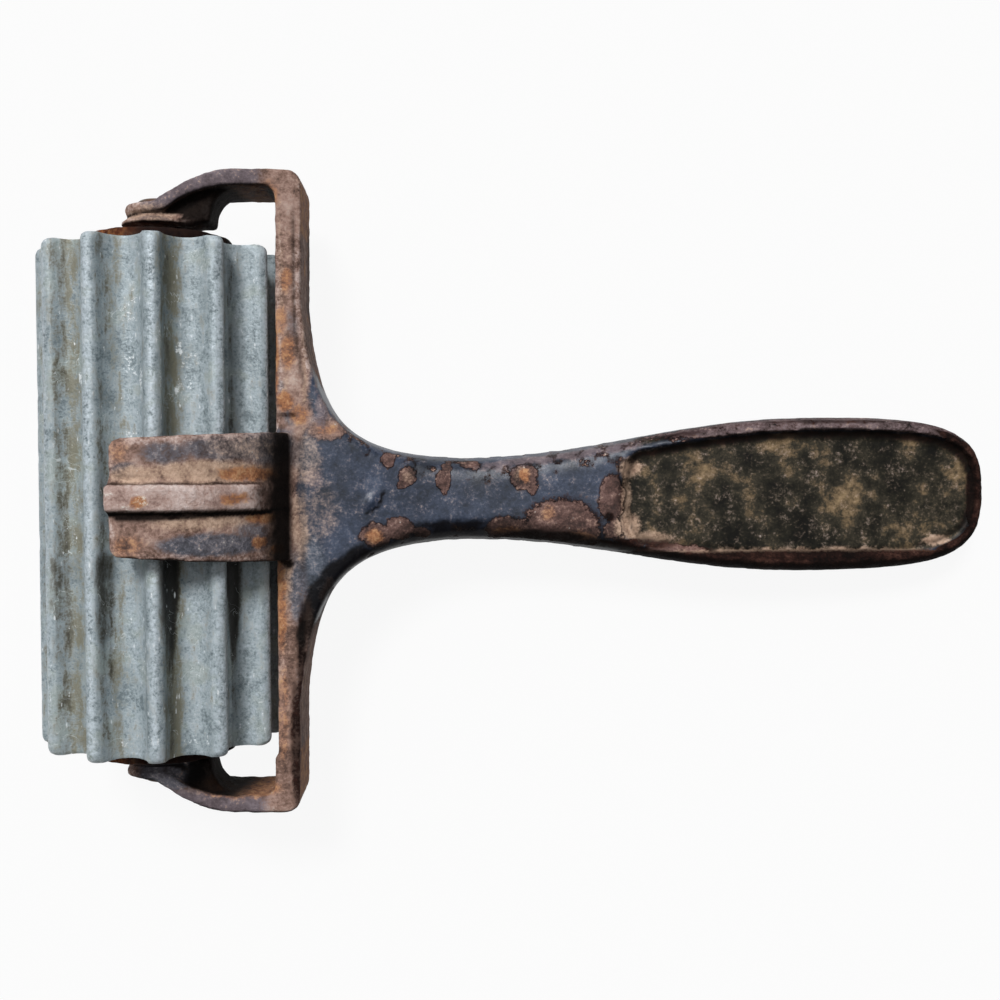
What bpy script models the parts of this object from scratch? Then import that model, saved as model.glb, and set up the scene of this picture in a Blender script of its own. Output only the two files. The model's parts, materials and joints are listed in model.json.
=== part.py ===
"""Hand fluting iron: a fluted zinc roller that turns on an axle in a one-piece cast-iron frame.

The tool is drawn in its own frame, with the roller's axle along Y through the origin, the
handle along +X and the top face towards +Z.  It is then laid down as it lies on a table, on two
flutes of the roller and on the end of the handle, with the origin under the middle of the whole.
"""

import math

import bmesh
import bpy
from mathutils import Vector
from mathutils.geometry import interpolate_bezier

MM = 0.001

# Clearances between pieces
FIT_GAP = 0.3 * MM
THRUST_GAP = 0.3 * MM
ROLLER_CLEARANCE = 0.9 * MM
OVERRUN = 2.0 * MM
MERGE = 0.005 * MM
FLAT_ANGLE = math.radians(0.05)

# Fluted roller
ROLLER_RADIUS = 24.0 * MM
ROLLER_LENGTH = 98.6 * MM
FLUTE_COUNT = 12
FLUTE_TIP_RADIUS = 1.75 * MM
VALLEY_RADIUS = 19.0 * MM
FLUTE_END_ROUND = 0.6 * MM
END_DISH = 0.8 * MM
ROLLER_BORE_RADIUS = 11.5 * MM
TIP_STEPS = 8
VALLEY_STEPS = 12

# Iron heads in the ends of the roller
HEAD_RADIUS = 14.3 * MM
HEAD_STAND = 2.5 * MM
HEAD_SEAT_DEPTH = 5.0 * MM
HEAD_EDGE = 0.8 * MM

# Axle, peened over outside both arms
AXLE_RADIUS = 3.2 * MM
PEEN_RADIUS = 4.6 * MM
PEEN_HEIGHT = 1.5 * MM
PEEN_RIM = 0.5 * MM

# Bosses that carry the axle, and the arms that bend out from them like straps on edge
FRAME_SET = 0.8 * MM
FRAME_SKEW = math.radians(-0.45)
BOSS_RADIUS = 7.4 * MM
BOSS_LENGTH = 4.4 * MM
BOSS_NECK_RADIUS = 6.3 * MM
COLLAR_RADIUS = 7.7 * MM
COLLAR_WIDTH = 1.2 * MM
SPOT_RADIUS = 5.2 * MM
SPOT_DEPTH = 0.3 * MM
ARM_HALF_DEPTH = 8.3 * MM
ARM_SPREAD = 6.45 * MM
ARM_THICKNESS = 3.6 * MM
ARM_END_THICKNESS = 2.0 * MM
ARM_KINK = 0.4 * MM
ARM_BEND = 16.0 * MM
ARM_OUTER_CORNER = 3.2 * MM
ARM_INNER_CORNER = 2.0 * MM
ARM_EDGE = 1.1 * MM
ARM_LEAVE_SHARE = 0.40
ARM_MEET_SHARES = (0.25, 0.45)
WEB_REACH = 10.4 * MM
WEB_HALF_DEPTH = 5.2 * MM
WEB_EDGE = 0.8 * MM
WEB_SHARES = (0.75, 0.60)

# Crossbar behind the roller
BAR_HOLLOW = 1.5 * MM
BAR_THICKNESS = 5.3 * MM

# Hood over the roller, with its rib
HOOD_SET = -0.6 * MM
HOOD_THICKNESS = 3.7 * MM
HOOD_PAST_CROWN = 3.3 * MM
HOOD_ROOT_HALF_WIDTH = 12.8 * MM
HOOD_END_HALF_WIDTH = 10.9 * MM
HOOD_CORNER = 2.2 * MM
HOOD_EDGE = 0.7 * MM
HOOD_ROOT_DEPTH = 4.0 * MM
RIB_HALF_WIDTH = 2.6 * MM
RIB_HEIGHT = 1.6 * MM
RIB_BURY = 1.1 * MM
RIB_PAST_HOOD = 0.6 * MM
RIB_EDGE = 0.5 * MM
RIB_TOP_ANGLE = math.radians(43)
RIB_FOOT_ANGLE = math.radians(30)

# Handle: root fillets, neck, grip and end
ROOT_SPREAD = 46.0 * MM
ROOT_BURY = 0.5 * MM
ROOT_FLARE = 1.9 * MM
ROOT_STEP = 0.25 * MM
NECK_DISTANCE = 33.3 * MM
NECK_HALF_WIDTH = 8.6 * MM
NECK_THICKNESS = 10.0 * MM
GRIP_DISTANCE = 69.0 * MM
GRIP_HALF_WIDTH = 16.0 * MM
GRIP_THICKNESS = 11.0 * MM
END_DISTANCE = 37.0 * MM
HANDLE_SET = -1.7 * MM
HANDLE_LEAN = math.radians(0.92)
ROOT_EDGE = 1.3 * MM
NECK_EDGE = 4.4 * MM
GRIP_EDGE = 2.5 * MM
PARTING_SWELL = 0.35 * MM
ROOT_HANDLE_SHARES = (0.60, 0.83)
GRIP_HANDLE_SHARES = (0.365, 0.375)
END_HANDLE_SHARES = (0.79, 0.91)

# Sunk panel in the top of the grip
PANEL_START = 63.6 * MM
PANEL_START_RUN = 6.0 * MM
PANEL_DEPTH = 1.4 * MM
RIM_WIDTH = 2.9 * MM
END_RIM_WIDTH = 1.7 * MM
PANEL_NOSE_SHARES = (0.70, 0.60)

# Fineness of the curved surfaces
TURN_STEPS = 48
CURVE_STEPS = 9
ARC_STEPS = 6
EDGE_STEPS = 3
HOOD_STEPS = 16
SHARP_EDGE = math.radians(35)
FLUTE_END_SHARP = math.radians(60)

# Places that follow from the sizes
PITCH = 2 * math.pi / FLUTE_COUNT
TIP_CENTRE = ROLLER_RADIUS - FLUTE_TIP_RADIUS
AXLE_HEIGHT = TIP_CENTRE * math.cos(PITCH / 2) + FLUTE_TIP_RADIUS
BOSS_FACE = ROLLER_LENGTH / 2 + HEAD_STAND + THRUST_GAP + FRAME_SET
BOSS_BACK = BOSS_FACE + BOSS_LENGTH
SPOT_FACE = BOSS_BACK - SPOT_DEPTH
ARM_OUTER = BOSS_BACK + ARM_SPREAD
ARM_INNER = ARM_OUTER - ARM_THICKNESS
ARM_END_INNER = BOSS_BACK - ARM_END_THICKNESS
HOOD_INNER = ROLLER_RADIUS + ROLLER_CLEARANCE
HOOD_OUTER = HOOD_INNER + HOOD_THICKNESS
BAR_INNER = HOOD_INNER - BAR_HOLLOW
BAR_OUTER = BAR_INNER + BAR_THICKNESS
ROOT_X = BAR_OUTER - ROOT_BURY
NECK_X = BAR_OUTER + NECK_DISTANCE
GRIP_X = NECK_X + GRIP_DISTANCE
END_X = GRIP_X + END_DISTANCE
PANEL_X = BAR_OUTER + PANEL_START

# Turns an outline drawn in X and Y so that it stands square to the axle
ACROSS_AXLE = (math.pi / 2, 0, 0)
FLAT = (0, 0, 0)

# Pieces and guides of the fixed side that stay square to the axle, where the casting is askew
SQUARE_TO_AXLE = ("axle_pin", "right_boss", "left_boss", "roller_space", "axle_hole")

# Turns that send a profile's top to the axle's +Y end or to its other end
TOWARDS_RIGHT = (-math.pi / 2, 0, 0)
TOWARDS_LEFT = (math.pi / 2, 0, 0)


def clear_scene():
    """Empty the scene, whatever it holds."""
    for item in list(bpy.data.objects):
        bpy.data.objects.remove(item, do_unlink=True)


def new_collection(name):
    """Add a collection to the scene."""
    group = bpy.data.collections.new(name)
    bpy.context.scene.collection.children.link(group)
    return group


def new_material(name, colour, roughness, metallic):
    """Principled material in one colour."""
    material = bpy.data.materials.new(name)
    material.use_nodes = True
    shader = material.node_tree.nodes["Principled BSDF"]
    shader.inputs["Base Color"].default_value = (*colour, 1)
    shader.inputs["Roughness"].default_value = roughness
    shader.inputs["Metallic"].default_value = metallic
    return material


def new_object(name, mesh, group, turn=FLAT):
    """Link a mesh as an object, turned but at the origin."""
    item = bpy.data.objects.new(name, mesh)
    item.rotation_euler = turn
    group.objects.link(item)
    return item


def as_cutter(item):
    """Hide a guide solid that only shapes another piece."""
    item.hide_render = True
    item.display_type = "WIRE"
    return item


def outline_solid(name, points, low, high, group, turn=FLAT):
    """Closed outline in X and Y, filled and given its thickness from low to high along Z.

    The triangles of the fill are joined into one flat face, so that a bevel runs clean along it.
    """
    curve = bpy.data.curves.new(name + "_outline", "CURVE")
    curve.dimensions = "2D"
    curve.fill_mode = "BOTH"
    curve.extrude = (high - low) / 2
    spline = curve.splines.new("POLY")
    spline.points.add(len(points) - 1)
    for knot, (x, y) in zip(spline.points, points):
        knot.co = (x, y, 0, 1)
    spline.use_cyclic_u = True
    drawing = bpy.data.objects.new(name + "_outline", curve)
    group.objects.link(drawing)
    view = bpy.context.evaluated_depsgraph_get()
    mesh = bpy.data.meshes.new_from_object(drawing.evaluated_get(view))
    bpy.data.objects.remove(drawing, do_unlink=True)
    shape = bmesh.new()
    shape.from_mesh(mesh)
    bmesh.ops.remove_doubles(shape, verts=shape.verts, dist=MERGE)
    bmesh.ops.dissolve_limit(shape, angle_limit=FLAT_ANGLE, verts=shape.verts, edges=shape.edges)
    bmesh.ops.translate(shape, verts=shape.verts, vec=(0, 0, (high + low) / 2))
    bmesh.ops.recalc_face_normals(shape, faces=shape.faces)
    shape.to_mesh(mesh)
    shape.free()
    mesh.materials.clear()
    mesh.name = name
    return new_object(name, mesh, group, turn)


def turned_solid(name, profile, group, turn=ACROSS_AXLE):
    """Profile of (radius, height) points, from top to bottom, turned about the axle."""
    mesh = bpy.data.meshes.new(name)
    shape = bmesh.new()
    knots = [shape.verts.new((radius, 0, height)) for radius, height in profile]
    for upper, lower in zip(knots, knots[1:]):
        shape.edges.new((upper, lower))
    if profile[0][0] > 0:
        shape.edges.new((knots[-1], knots[0]))
    shape.to_mesh(mesh)
    shape.free()
    item = new_object(name, mesh, group, turn)
    screw = item.modifiers.new("turn", "SCREW")
    screw.steps = TURN_STEPS
    screw.render_steps = TURN_STEPS
    screw.use_merge_vertices = True
    screw.merge_threshold = MERGE
    return item


def add_boolean(item, other, operation):
    """Join, cut or trim a piece with another solid."""
    step = item.modifiers.new(other.name, "BOOLEAN")
    step.object = other
    step.operation = operation
    step.solver = "EXACT"


def add_bevel(item, width, angle=SHARP_EDGE):
    """Round the edges that are sharper than an angle."""
    step = item.modifiers.new("round_edges", "BEVEL")
    step.width = width
    step.segments = 2
    step.limit_method = "ANGLE"
    step.angle_limit = angle
    step.harden_normals = False


def on_circle(centre, radius, angle):
    """Point at an angle round a centre."""
    return (centre[0] + radius * math.cos(angle), centre[1] + radius * math.sin(angle))


def arc(centre, radius, start, end, steps):
    """Points round a centre, both ends included."""
    return [on_circle(centre, radius, mix(start, end, step / steps)) for step in range(steps + 1)]


def bend(start, leave, meet, end, steps=CURVE_STEPS):
    """Points along a Bezier stretch, both ends included."""
    corners = [Vector((x, y, 0)) for x, y in (start, leave, meet, end)]
    return [(point.x, point.y) for point in interpolate_bezier(*corners, steps + 1)]


def both_sides(half):
    """Close a half outline with its mirror image across the X axis."""
    mirrored = [(x, -y) for x, y in reversed(half) if y > 0]
    return half + mirrored


def ease(value):
    """Smooth step from 0 to 1."""
    share = min(max(value, 0), 1)
    return (1 - math.cos(math.pi * share)) / 2


def mix(first, second, share):
    """Value that lies a share of the way from the first to the second."""
    return first + (second - first) * share


def flute_outline():
    """Round crests and the hollows between them, which meet without a corner."""
    half_pitch = PITCH / 2
    reach = TIP_CENTRE * math.cos(half_pitch)
    chord = TIP_CENTRE**2 + VALLEY_RADIUS**2 - 2 * VALLEY_RADIUS * reach - FLUTE_TIP_RADIUS**2
    hollow_radius = chord / (2 * (FLUTE_TIP_RADIUS + reach - VALLEY_RADIUS))
    hollow_centre = VALLEY_RADIUS + hollow_radius
    meeting = math.atan2(
        hollow_centre * math.sin(half_pitch),
        hollow_centre * math.cos(half_pitch) - TIP_CENTRE,
    )
    points = []
    for flute in range(FLUTE_COUNT):
        crest = half_pitch + flute * PITCH - math.pi / 2
        valley = crest + half_pitch
        tip = (TIP_CENTRE * math.cos(crest), TIP_CENTRE * math.sin(crest))
        hollow = (hollow_centre * math.cos(valley), hollow_centre * math.sin(valley))
        points += arc(tip, FLUTE_TIP_RADIUS, crest - meeting, crest + meeting, TIP_STEPS)
        down = crest + meeting + math.pi
        up = 2 * valley - down + 2 * math.pi
        points += arc(hollow, hollow_radius, down, up, VALLEY_STEPS)[1:-1]
    return points


def roller_core_profile():
    """Bore, head seats and dished ends that are cut out of the fluted blank."""
    end = ROLLER_LENGTH / 2
    seat = HEAD_RADIUS + FIT_GAP
    slope = END_DISH / (ROLLER_RADIUS - seat)
    upper = [
        (0, end + OVERRUN),
        (ROLLER_RADIUS + OVERRUN, end + OVERRUN),
        (ROLLER_RADIUS + OVERRUN, end + OVERRUN * slope),
        (ROLLER_RADIUS, end),
        (seat, end - END_DISH),
        (seat, end - HEAD_SEAT_DEPTH),
        (ROLLER_BORE_RADIUS, end - HEAD_SEAT_DEPTH),
    ]
    return upper + [(radius, -height) for radius, height in reversed(upper)]


def make_roller(group, cutters, zinc):
    """Fluted shell, bored through, with a seat for a head at each end."""
    half = ROLLER_LENGTH / 2
    roller = outline_solid("fluted_roller", flute_outline(), -half, half, group, ACROSS_AXLE)
    add_bevel(roller, FLUTE_END_ROUND, FLUTE_END_SHARP)
    core = as_cutter(turned_solid("roller_core", roller_core_profile(), cutters))
    add_boolean(roller, core, "DIFFERENCE")
    roller.data.materials.append(zinc)
    return roller


def make_head(name, turn, group, iron):
    """Iron disc that closes an end of the roller and runs on the axle."""
    outer = ROLLER_LENGTH / 2 + HEAD_STAND
    inner = ROLLER_LENGTH / 2 - HEAD_SEAT_DEPTH + FIT_GAP
    bore = AXLE_RADIUS + FIT_GAP
    edge = arc((HEAD_RADIUS - HEAD_EDGE, outer - HEAD_EDGE), HEAD_EDGE, math.pi / 2, 0, EDGE_STEPS)
    profile = [(bore, outer)] + edge + [(HEAD_RADIUS, inner), (bore, inner)]
    head = turned_solid(name, profile, group, turn)
    head.data.materials.append(iron)
    return head


def make_axle(group, steel):
    """Steel rod with both ends hammered over into low round heads."""
    under_head = SPOT_FACE + FIT_GAP
    dome = [
        (PEEN_RADIUS * math.sin(angle), under_head + PEEN_RIM + (PEEN_HEIGHT - PEEN_RIM) * math.cos(angle))
        for angle in (math.pi / 2 * step / EDGE_STEPS for step in range(EDGE_STEPS + 1))
    ]
    upper = [(0, under_head + PEEN_HEIGHT)] + dome[1:]
    upper += [(PEEN_RADIUS, under_head), (AXLE_RADIUS, under_head)]
    profile = upper + [(radius, -height) for radius, height in reversed(upper)]
    axle = turned_solid("axle_pin", profile, group)
    axle.data.materials.append(steel)
    return axle


def arm_bends():
    """Outer and inner side of an arm, both from the boss to where the arm runs straight."""
    bend_length = ARM_BEND + ARM_KINK
    inner_start = (ARM_THICKNESS - ARM_END_THICKNESS, ARM_END_INNER)
    outer = bend(
        (-ARM_KINK, BOSS_BACK),
        (bend_length * ARM_MEET_SHARES[0] - ARM_KINK, BOSS_BACK + ARM_SPREAD * ARM_MEET_SHARES[1]),
        (ARM_BEND - bend_length * ARM_LEAVE_SHARE, ARM_OUTER),
        (ARM_BEND, ARM_OUTER),
    )
    inner = bend(
        inner_start,
        (inner_start[0] + bend_length * ARM_MEET_SHARES[0], ARM_END_INNER + ARM_SPREAD * ARM_MEET_SHARES[1]),
        (ARM_BEND - bend_length * ARM_LEAVE_SHARE, ARM_INNER),
        (ARM_BEND, ARM_INNER),
    )
    return outer, inner


def yoke_outline():
    """Crossbar and the two straps that bend in to the bosses, seen from above."""
    outer, inner = arm_bends()
    corner = (BAR_OUTER - ARM_OUTER_CORNER, ARM_OUTER - ARM_OUTER_CORNER)
    half = arc(corner, ARM_OUTER_CORNER, 0, math.pi / 2, ARC_STEPS) + outer[::-1]
    half += [(-BOSS_RADIUS - OVERRUN, BOSS_BACK), (-BOSS_RADIUS - OVERRUN, ARM_END_INNER)]
    half += inner
    inner_corner = (BAR_INNER - ARM_INNER_CORNER, ARM_INNER - ARM_INNER_CORNER)
    half += arc(inner_corner, ARM_INNER_CORNER, math.pi / 2, 0, ARC_STEPS)
    return both_sides(half)


def make_yoke(cutters):
    """Plan of the yoke trimmed to its side view, with the ends of the arms round at the axle."""
    depth = ARM_HALF_DEPTH + OVERRUN
    yoke = outline_solid("yoke", yoke_outline(), -depth, depth, cutters)
    side = arc((0, 0), BOSS_RADIUS, math.pi / 2, 3 * math.pi / 2, 4 * ARC_STEPS)
    side += [(ARM_BEND, -ARM_HALF_DEPTH), (BAR_OUTER + OVERRUN, -ARM_HALF_DEPTH)]
    side += [(x, -y) for x, y in reversed(side[-2:])]
    width = ARM_OUTER + OVERRUN
    trim = outline_solid("yoke_side_view", side, -width, width, cutters, ACROSS_AXLE)
    add_boolean(yoke, as_cutter(trim), "INTERSECT")
    add_bevel(yoke, ARM_EDGE)
    return as_cutter(yoke)


def make_boss(name, turn, cutters):
    """Round boss inside the end of an arm, with a collar towards the roller."""
    buried = BOSS_BACK - ARM_END_THICKNESS / 2
    profile = [
        (0, buried),
        (BOSS_NECK_RADIUS, buried),
        (BOSS_NECK_RADIUS, BOSS_FACE + COLLAR_WIDTH),
        (COLLAR_RADIUS, BOSS_FACE + COLLAR_WIDTH),
        (COLLAR_RADIUS, BOSS_FACE),
        (0, BOSS_FACE),
    ]
    return as_cutter(turned_solid(name, profile, cutters, turn))


def make_web(name, side, cutters):
    """Low web that fills the hollow between a boss and its arm, on the crossbar's side."""
    outer, inner = arm_bends()
    middle = [((x + far_x) / 2, (y + far_y) / 2) for (x, y), (far_x, far_y) in zip(outer, inner)]
    start = BOSS_FACE + COLLAR_WIDTH / 2
    rise = ARM_INNER - start
    hollow = bend(
        (WEB_REACH, start),
        (WEB_REACH, start + rise * WEB_SHARES[0]),
        (ARM_BEND - (ARM_BEND - WEB_REACH) * WEB_SHARES[1], ARM_INNER),
        (ARM_BEND, ARM_INNER),
    )
    outline = [(x, side * y) for x, y in [(0, start)] + hollow + middle[::-1]]
    web = outline_solid(name, outline, -WEB_HALF_DEPTH, WEB_HALF_DEPTH, cutters)
    add_bevel(web, WEB_EDGE)
    return as_cutter(web)


def make_hood(cutters):
    """Arched strip that springs from the crossbar and reaches just past the roller's crown."""
    root = math.asin(HOOD_ROOT_DEPTH / HOOD_OUTER)
    end = math.pi / 2 + math.asin((HOOD_PAST_CROWN + OVERRUN) / HOOD_INNER)
    arch = arc((0, 0), HOOD_OUTER, root, end, HOOD_STEPS)
    arch += arc((0, 0), HOOD_INNER - OVERRUN / 2, end, root, HOOD_STEPS)
    width = HOOD_ROOT_HALF_WIDTH + OVERRUN
    hood = outline_solid("hood", arch, -width, width, cutters, ACROSS_AXLE)
    corner = (HOOD_CORNER - HOOD_PAST_CROWN, HOOD_END_HALF_WIDTH - HOOD_CORNER)
    half = [(BAR_OUTER, HOOD_ROOT_HALF_WIDTH)]
    half += arc(corner, HOOD_CORNER, math.pi / 2, math.pi, ARC_STEPS)
    plan = outline_solid("hood_plan", both_sides(half), 0, HOOD_OUTER + OVERRUN, cutters)
    hood.location.y = HOOD_SET
    plan.location.y = HOOD_SET
    add_boolean(hood, as_cutter(plan), "INTERSECT")
    add_bevel(hood, HOOD_EDGE)
    return as_cutter(hood)


def make_rib(cutters):
    """Stiffening rib along the middle of the hood, sloped off at its foot."""
    top = HOOD_OUTER + RIB_HEIGHT
    buried = HOOD_OUTER - RIB_BURY
    reach = HOOD_PAST_CROWN + RIB_PAST_HOOD
    top_end = math.pi / 2 + math.asin(reach / top)
    buried_end = math.pi / 2 + math.asin(reach / buried)
    side = arc((0, 0), top, RIB_TOP_ANGLE, top_end, HOOD_STEPS)
    side += arc((0, 0), buried, buried_end, RIB_FOOT_ANGLE, HOOD_STEPS)
    side.append(on_circle((0, 0), HOOD_OUTER, RIB_FOOT_ANGLE))
    rib = outline_solid("rib", side, -RIB_HALF_WIDTH, RIB_HALF_WIDTH, cutters, ACROSS_AXLE)
    rib.location.y = HOOD_SET
    add_bevel(rib, RIB_EDGE)
    return as_cutter(rib)


def handle_stations():
    """Places along the handle with its half width there, from the crossbar to the end."""
    root_run = NECK_X - ROOT_X
    root = bend(
        (ROOT_X, ROOT_SPREAD),
        (ROOT_X + ROOT_FLARE, ROOT_SPREAD * (1 - ROOT_HANDLE_SHARES[0])),
        (NECK_X - root_run * ROOT_HANDLE_SHARES[1], NECK_HALF_WIDTH),
        (NECK_X, NECK_HALF_WIDTH),
        2 * CURVE_STEPS,
    )
    grip = bend(
        (NECK_X, NECK_HALF_WIDTH),
        (NECK_X + GRIP_DISTANCE * GRIP_HANDLE_SHARES[0], NECK_HALF_WIDTH),
        (GRIP_X - GRIP_DISTANCE * GRIP_HANDLE_SHARES[1], GRIP_HALF_WIDTH),
        (GRIP_X, GRIP_HALF_WIDTH),
    )
    end = bend(
        (GRIP_X, GRIP_HALF_WIDTH),
        (GRIP_X + END_DISTANCE * END_HANDLE_SHARES[0], GRIP_HALF_WIDTH),
        (END_X, GRIP_HALF_WIDTH * END_HANDLE_SHARES[1]),
        (END_X, 0),
        2 * CURVE_STEPS,
    )
    return root + grip[1:] + end[1:-1]


def handle_half_thickness(x):
    """Half thickness: as deep as the crossbar at the root, thin at the neck, round at the end."""
    root = ease((x - ROOT_X) / (NECK_X - ROOT_X))
    grip = ease((x - NECK_X) / (GRIP_X - NECK_X))
    half = mix(ARM_HALF_DEPTH - ROOT_STEP, NECK_THICKNESS / 2, root)
    half = mix(half, GRIP_THICKNESS / 2, grip)
    past = max(x - (END_X - GRIP_EDGE), 0)
    return half - GRIP_EDGE + math.sqrt(GRIP_EDGE**2 - past**2)


def handle_edge_radius(x):
    """Radius of the handle's long edges."""
    root = ease((x - ROOT_X) / (NECK_X - ROOT_X))
    grip = ease((x - NECK_X) / (GRIP_X - NECK_X))
    return mix(mix(ROOT_EDGE, NECK_EDGE, root), GRIP_EDGE, grip)


def handle_line(x):
    """Place of the handle's middle: it leaves the crossbar a little to one side and leans."""
    return HANDLE_SET + (x - BAR_OUTER) * math.tan(HANDLE_LEAN)


def handle_section(x, half_width):
    """Rounded oblong ring with a slight swell at the parting line on both sides."""
    half_thickness = handle_half_thickness(x)
    radius = min(handle_edge_radius(x), half_thickness, half_width - PARTING_SWELL)
    across = half_width - PARTING_SWELL - radius
    upper = half_thickness - radius
    ring = [(half_width, 0)]
    ring += arc((across, upper), radius, 0, math.pi / 2, EDGE_STEPS)
    ring += arc((-across, upper), radius, math.pi / 2, math.pi, EDGE_STEPS)
    ring += [(-half_width, 0)]
    ring += arc((-across, -upper), radius, math.pi, 3 * math.pi / 2, EDGE_STEPS)
    ring += arc((across, -upper), radius, 3 * math.pi / 2, 2 * math.pi, EDGE_STEPS)
    return [(x, y + handle_line(x), z) for y, z in ring]


def make_handle(name, group):
    """Loft through the sections of the handle, closed at the root and at the end."""
    shape = bmesh.new()
    rings = [
        [shape.verts.new(point) for point in handle_section(x, half_width)]
        for x, half_width in handle_stations()
    ]
    for first, second in zip(rings, rings[1:]):
        for index in range(len(first)):
            shape.faces.new((first[index - 1], first[index], second[index], second[index - 1]))
    shape.faces.new(rings[0])
    shape.faces.new(reversed(rings[-1]))
    bmesh.ops.recalc_face_normals(shape, faces=shape.faces)
    mesh = bpy.data.meshes.new(name)
    shape.to_mesh(mesh)
    shape.free()
    return new_object(name, mesh, group)


def panel_outline():
    """Outline of the sunk panel: a rounded nose, then the grip's own outline inside the rim."""
    nose = PANEL_X + PANEL_START_RUN
    widths = dict(handle_stations())
    before = max(x for x in widths if x <= nose)
    after = min(x for x in widths if x > nose)
    at_nose = mix(widths[before], widths[after], (nose - before) / (after - before)) - RIM_WIDTH
    half = bend(
        (PANEL_X, 0),
        (PANEL_X, at_nose * PANEL_NOSE_SHARES[0]),
        (nose - PANEL_START_RUN * PANEL_NOSE_SHARES[1], at_nose),
        (nose, at_nose),
    )
    half += [(x, width - RIM_WIDTH) for x, width in widths.items() if nose < x < GRIP_X]
    panel_end = END_DISTANCE - END_RIM_WIDTH
    half_width = GRIP_HALF_WIDTH - RIM_WIDTH
    half += bend(
        (GRIP_X, half_width),
        (GRIP_X + panel_end * END_HANDLE_SHARES[0], half_width),
        (GRIP_X + panel_end, half_width * END_HANDLE_SHARES[1]),
        (GRIP_X + panel_end, 0),
    )
    return [(x, y + handle_line(x)) for x, y in both_sides(half)]


def make_frame(group, cutters, iron):
    """Casting: handle, yoke, hood and rib in one piece, cut for the roller, axle and panel."""
    frame = make_handle("frame_casting", group)
    add_boolean(frame, make_yoke(cutters), "UNION")
    add_boolean(frame, make_boss("right_boss", TOWARDS_RIGHT, cutters), "UNION")
    add_boolean(frame, make_boss("left_boss", TOWARDS_LEFT, cutters), "UNION")
    add_boolean(frame, make_web("right_web", 1, cutters), "UNION")
    add_boolean(frame, make_web("left_web", -1, cutters), "UNION")
    add_boolean(frame, make_hood(cutters), "UNION")
    add_boolean(frame, make_rib(cutters), "UNION")
    swept = [
        (0, BOSS_FACE - THRUST_GAP),
        (HOOD_INNER, BOSS_FACE - THRUST_GAP),
        (HOOD_INNER, THRUST_GAP - BOSS_FACE),
        (0, THRUST_GAP - BOSS_FACE),
    ]
    add_boolean(frame, as_cutter(turned_solid("roller_space", swept, cutters)), "DIFFERENCE")
    hole = [
        (0, ARM_OUTER + OVERRUN),
        (SPOT_RADIUS, ARM_OUTER + OVERRUN),
        (SPOT_RADIUS, SPOT_FACE),
        (AXLE_RADIUS + FIT_GAP, SPOT_FACE),
    ]
    hole += [(radius, -height) for radius, height in reversed(hole)]
    add_boolean(frame, as_cutter(turned_solid("axle_hole", hole, cutters)), "DIFFERENCE")
    floor = GRIP_THICKNESS / 2 - PANEL_DEPTH
    panel = outline_solid("panel", panel_outline(), floor, GRIP_THICKNESS / 2 + OVERRUN, cutters)
    add_boolean(frame, as_cutter(panel), "DIFFERENCE")
    frame.data.materials.append(iron)
    return frame


def world_points(item):
    """Corners of a finished piece where it stands."""
    bpy.context.view_layer.update()
    view = bpy.context.evaluated_depsgraph_get()
    finished = item.evaluated_get(view)
    mesh = finished.to_mesh()
    points = [finished.matrix_world @ vertex.co for vertex in mesh.vertices]
    finished.to_mesh_clear()
    return points


def resting_tilt(frame):
    """Angle by which the handle drops until its underside meets the table."""
    drops = []
    for point in world_points(frame):
        reach = math.hypot(point.x, point.z)
        if point.x > 0 and reach > AXLE_HEIGHT:
            drops.append(math.asin(AXLE_HEIGHT / reach) - math.atan2(-point.z, point.x))
    return min(drops)


def add_empty(name, group, parent=None):
    """Empty that carries the pieces that move or lie together."""
    empty = bpy.data.objects.new(name, None)
    group.objects.link(empty)
    empty.parent = parent
    return empty


def lay_down(group, cutters, fixed, rolling):
    """Tip the frame about the axle, and put the whole thing over the origin on its base."""
    place = add_empty("resting_place", group)
    tipped = add_empty("tipped_frame", group, place)
    skewed = add_empty("skewed_casting", group, tipped)
    axle = add_empty("roller_axis", group, place)
    tilt = resting_tilt(fixed[0])
    for item in fixed + list(cutters.objects):
        item.parent = tipped if item.name in SQUARE_TO_AXLE else skewed
    for item in rolling + [cutters.objects["roller_core"]]:
        item.parent = axle
    tipped.rotation_euler = (0, tilt, 0)
    tipped.location = (0, FRAME_SET, 0)
    skewed.rotation_euler = (0, 0, FRAME_SKEW)
    place.location = (0, 0, AXLE_HEIGHT)
    points = [point for item in fixed + rolling for point in world_points(item)]
    middle = [(max(values) + min(values)) / 2 for values in zip(*points)]
    lowest = min(point.z for point in points)
    place.location = (-middle[0], -middle[1], AXLE_HEIGHT - lowest)


def main():
    """Build the fluting iron."""
    clear_scene()
    group = new_collection("fluting_iron")
    cutters = new_collection("cutters")
    iron = new_material("cast_iron", (0.055, 0.042, 0.038), 0.62, 0.35)
    rusty_iron = new_material("rusty_iron", (0.25, 0.09, 0.045), 0.8, 0.2)
    zinc = new_material("zinc", (0.33, 0.37, 0.38), 0.5, 0.6)
    steel = new_material("steel", (0.2, 0.19, 0.18), 0.45, 0.9)
    frame = make_frame(group, cutters, iron)
    axle = make_axle(group, steel)
    roller = make_roller(group, cutters, zinc)
    right = make_head("roller_head_right", TOWARDS_RIGHT, group, rusty_iron)
    left = make_head("roller_head_left", TOWARDS_LEFT, group, rusty_iron)
    lay_down(group, cutters, [frame, axle], [roller, right, left])


main()
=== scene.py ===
import json
import math
import random
from types import SimpleNamespace

import bmesh
import bpy
import numpy as np
from mathutils import Matrix, Vector, kdtree, noise


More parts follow.
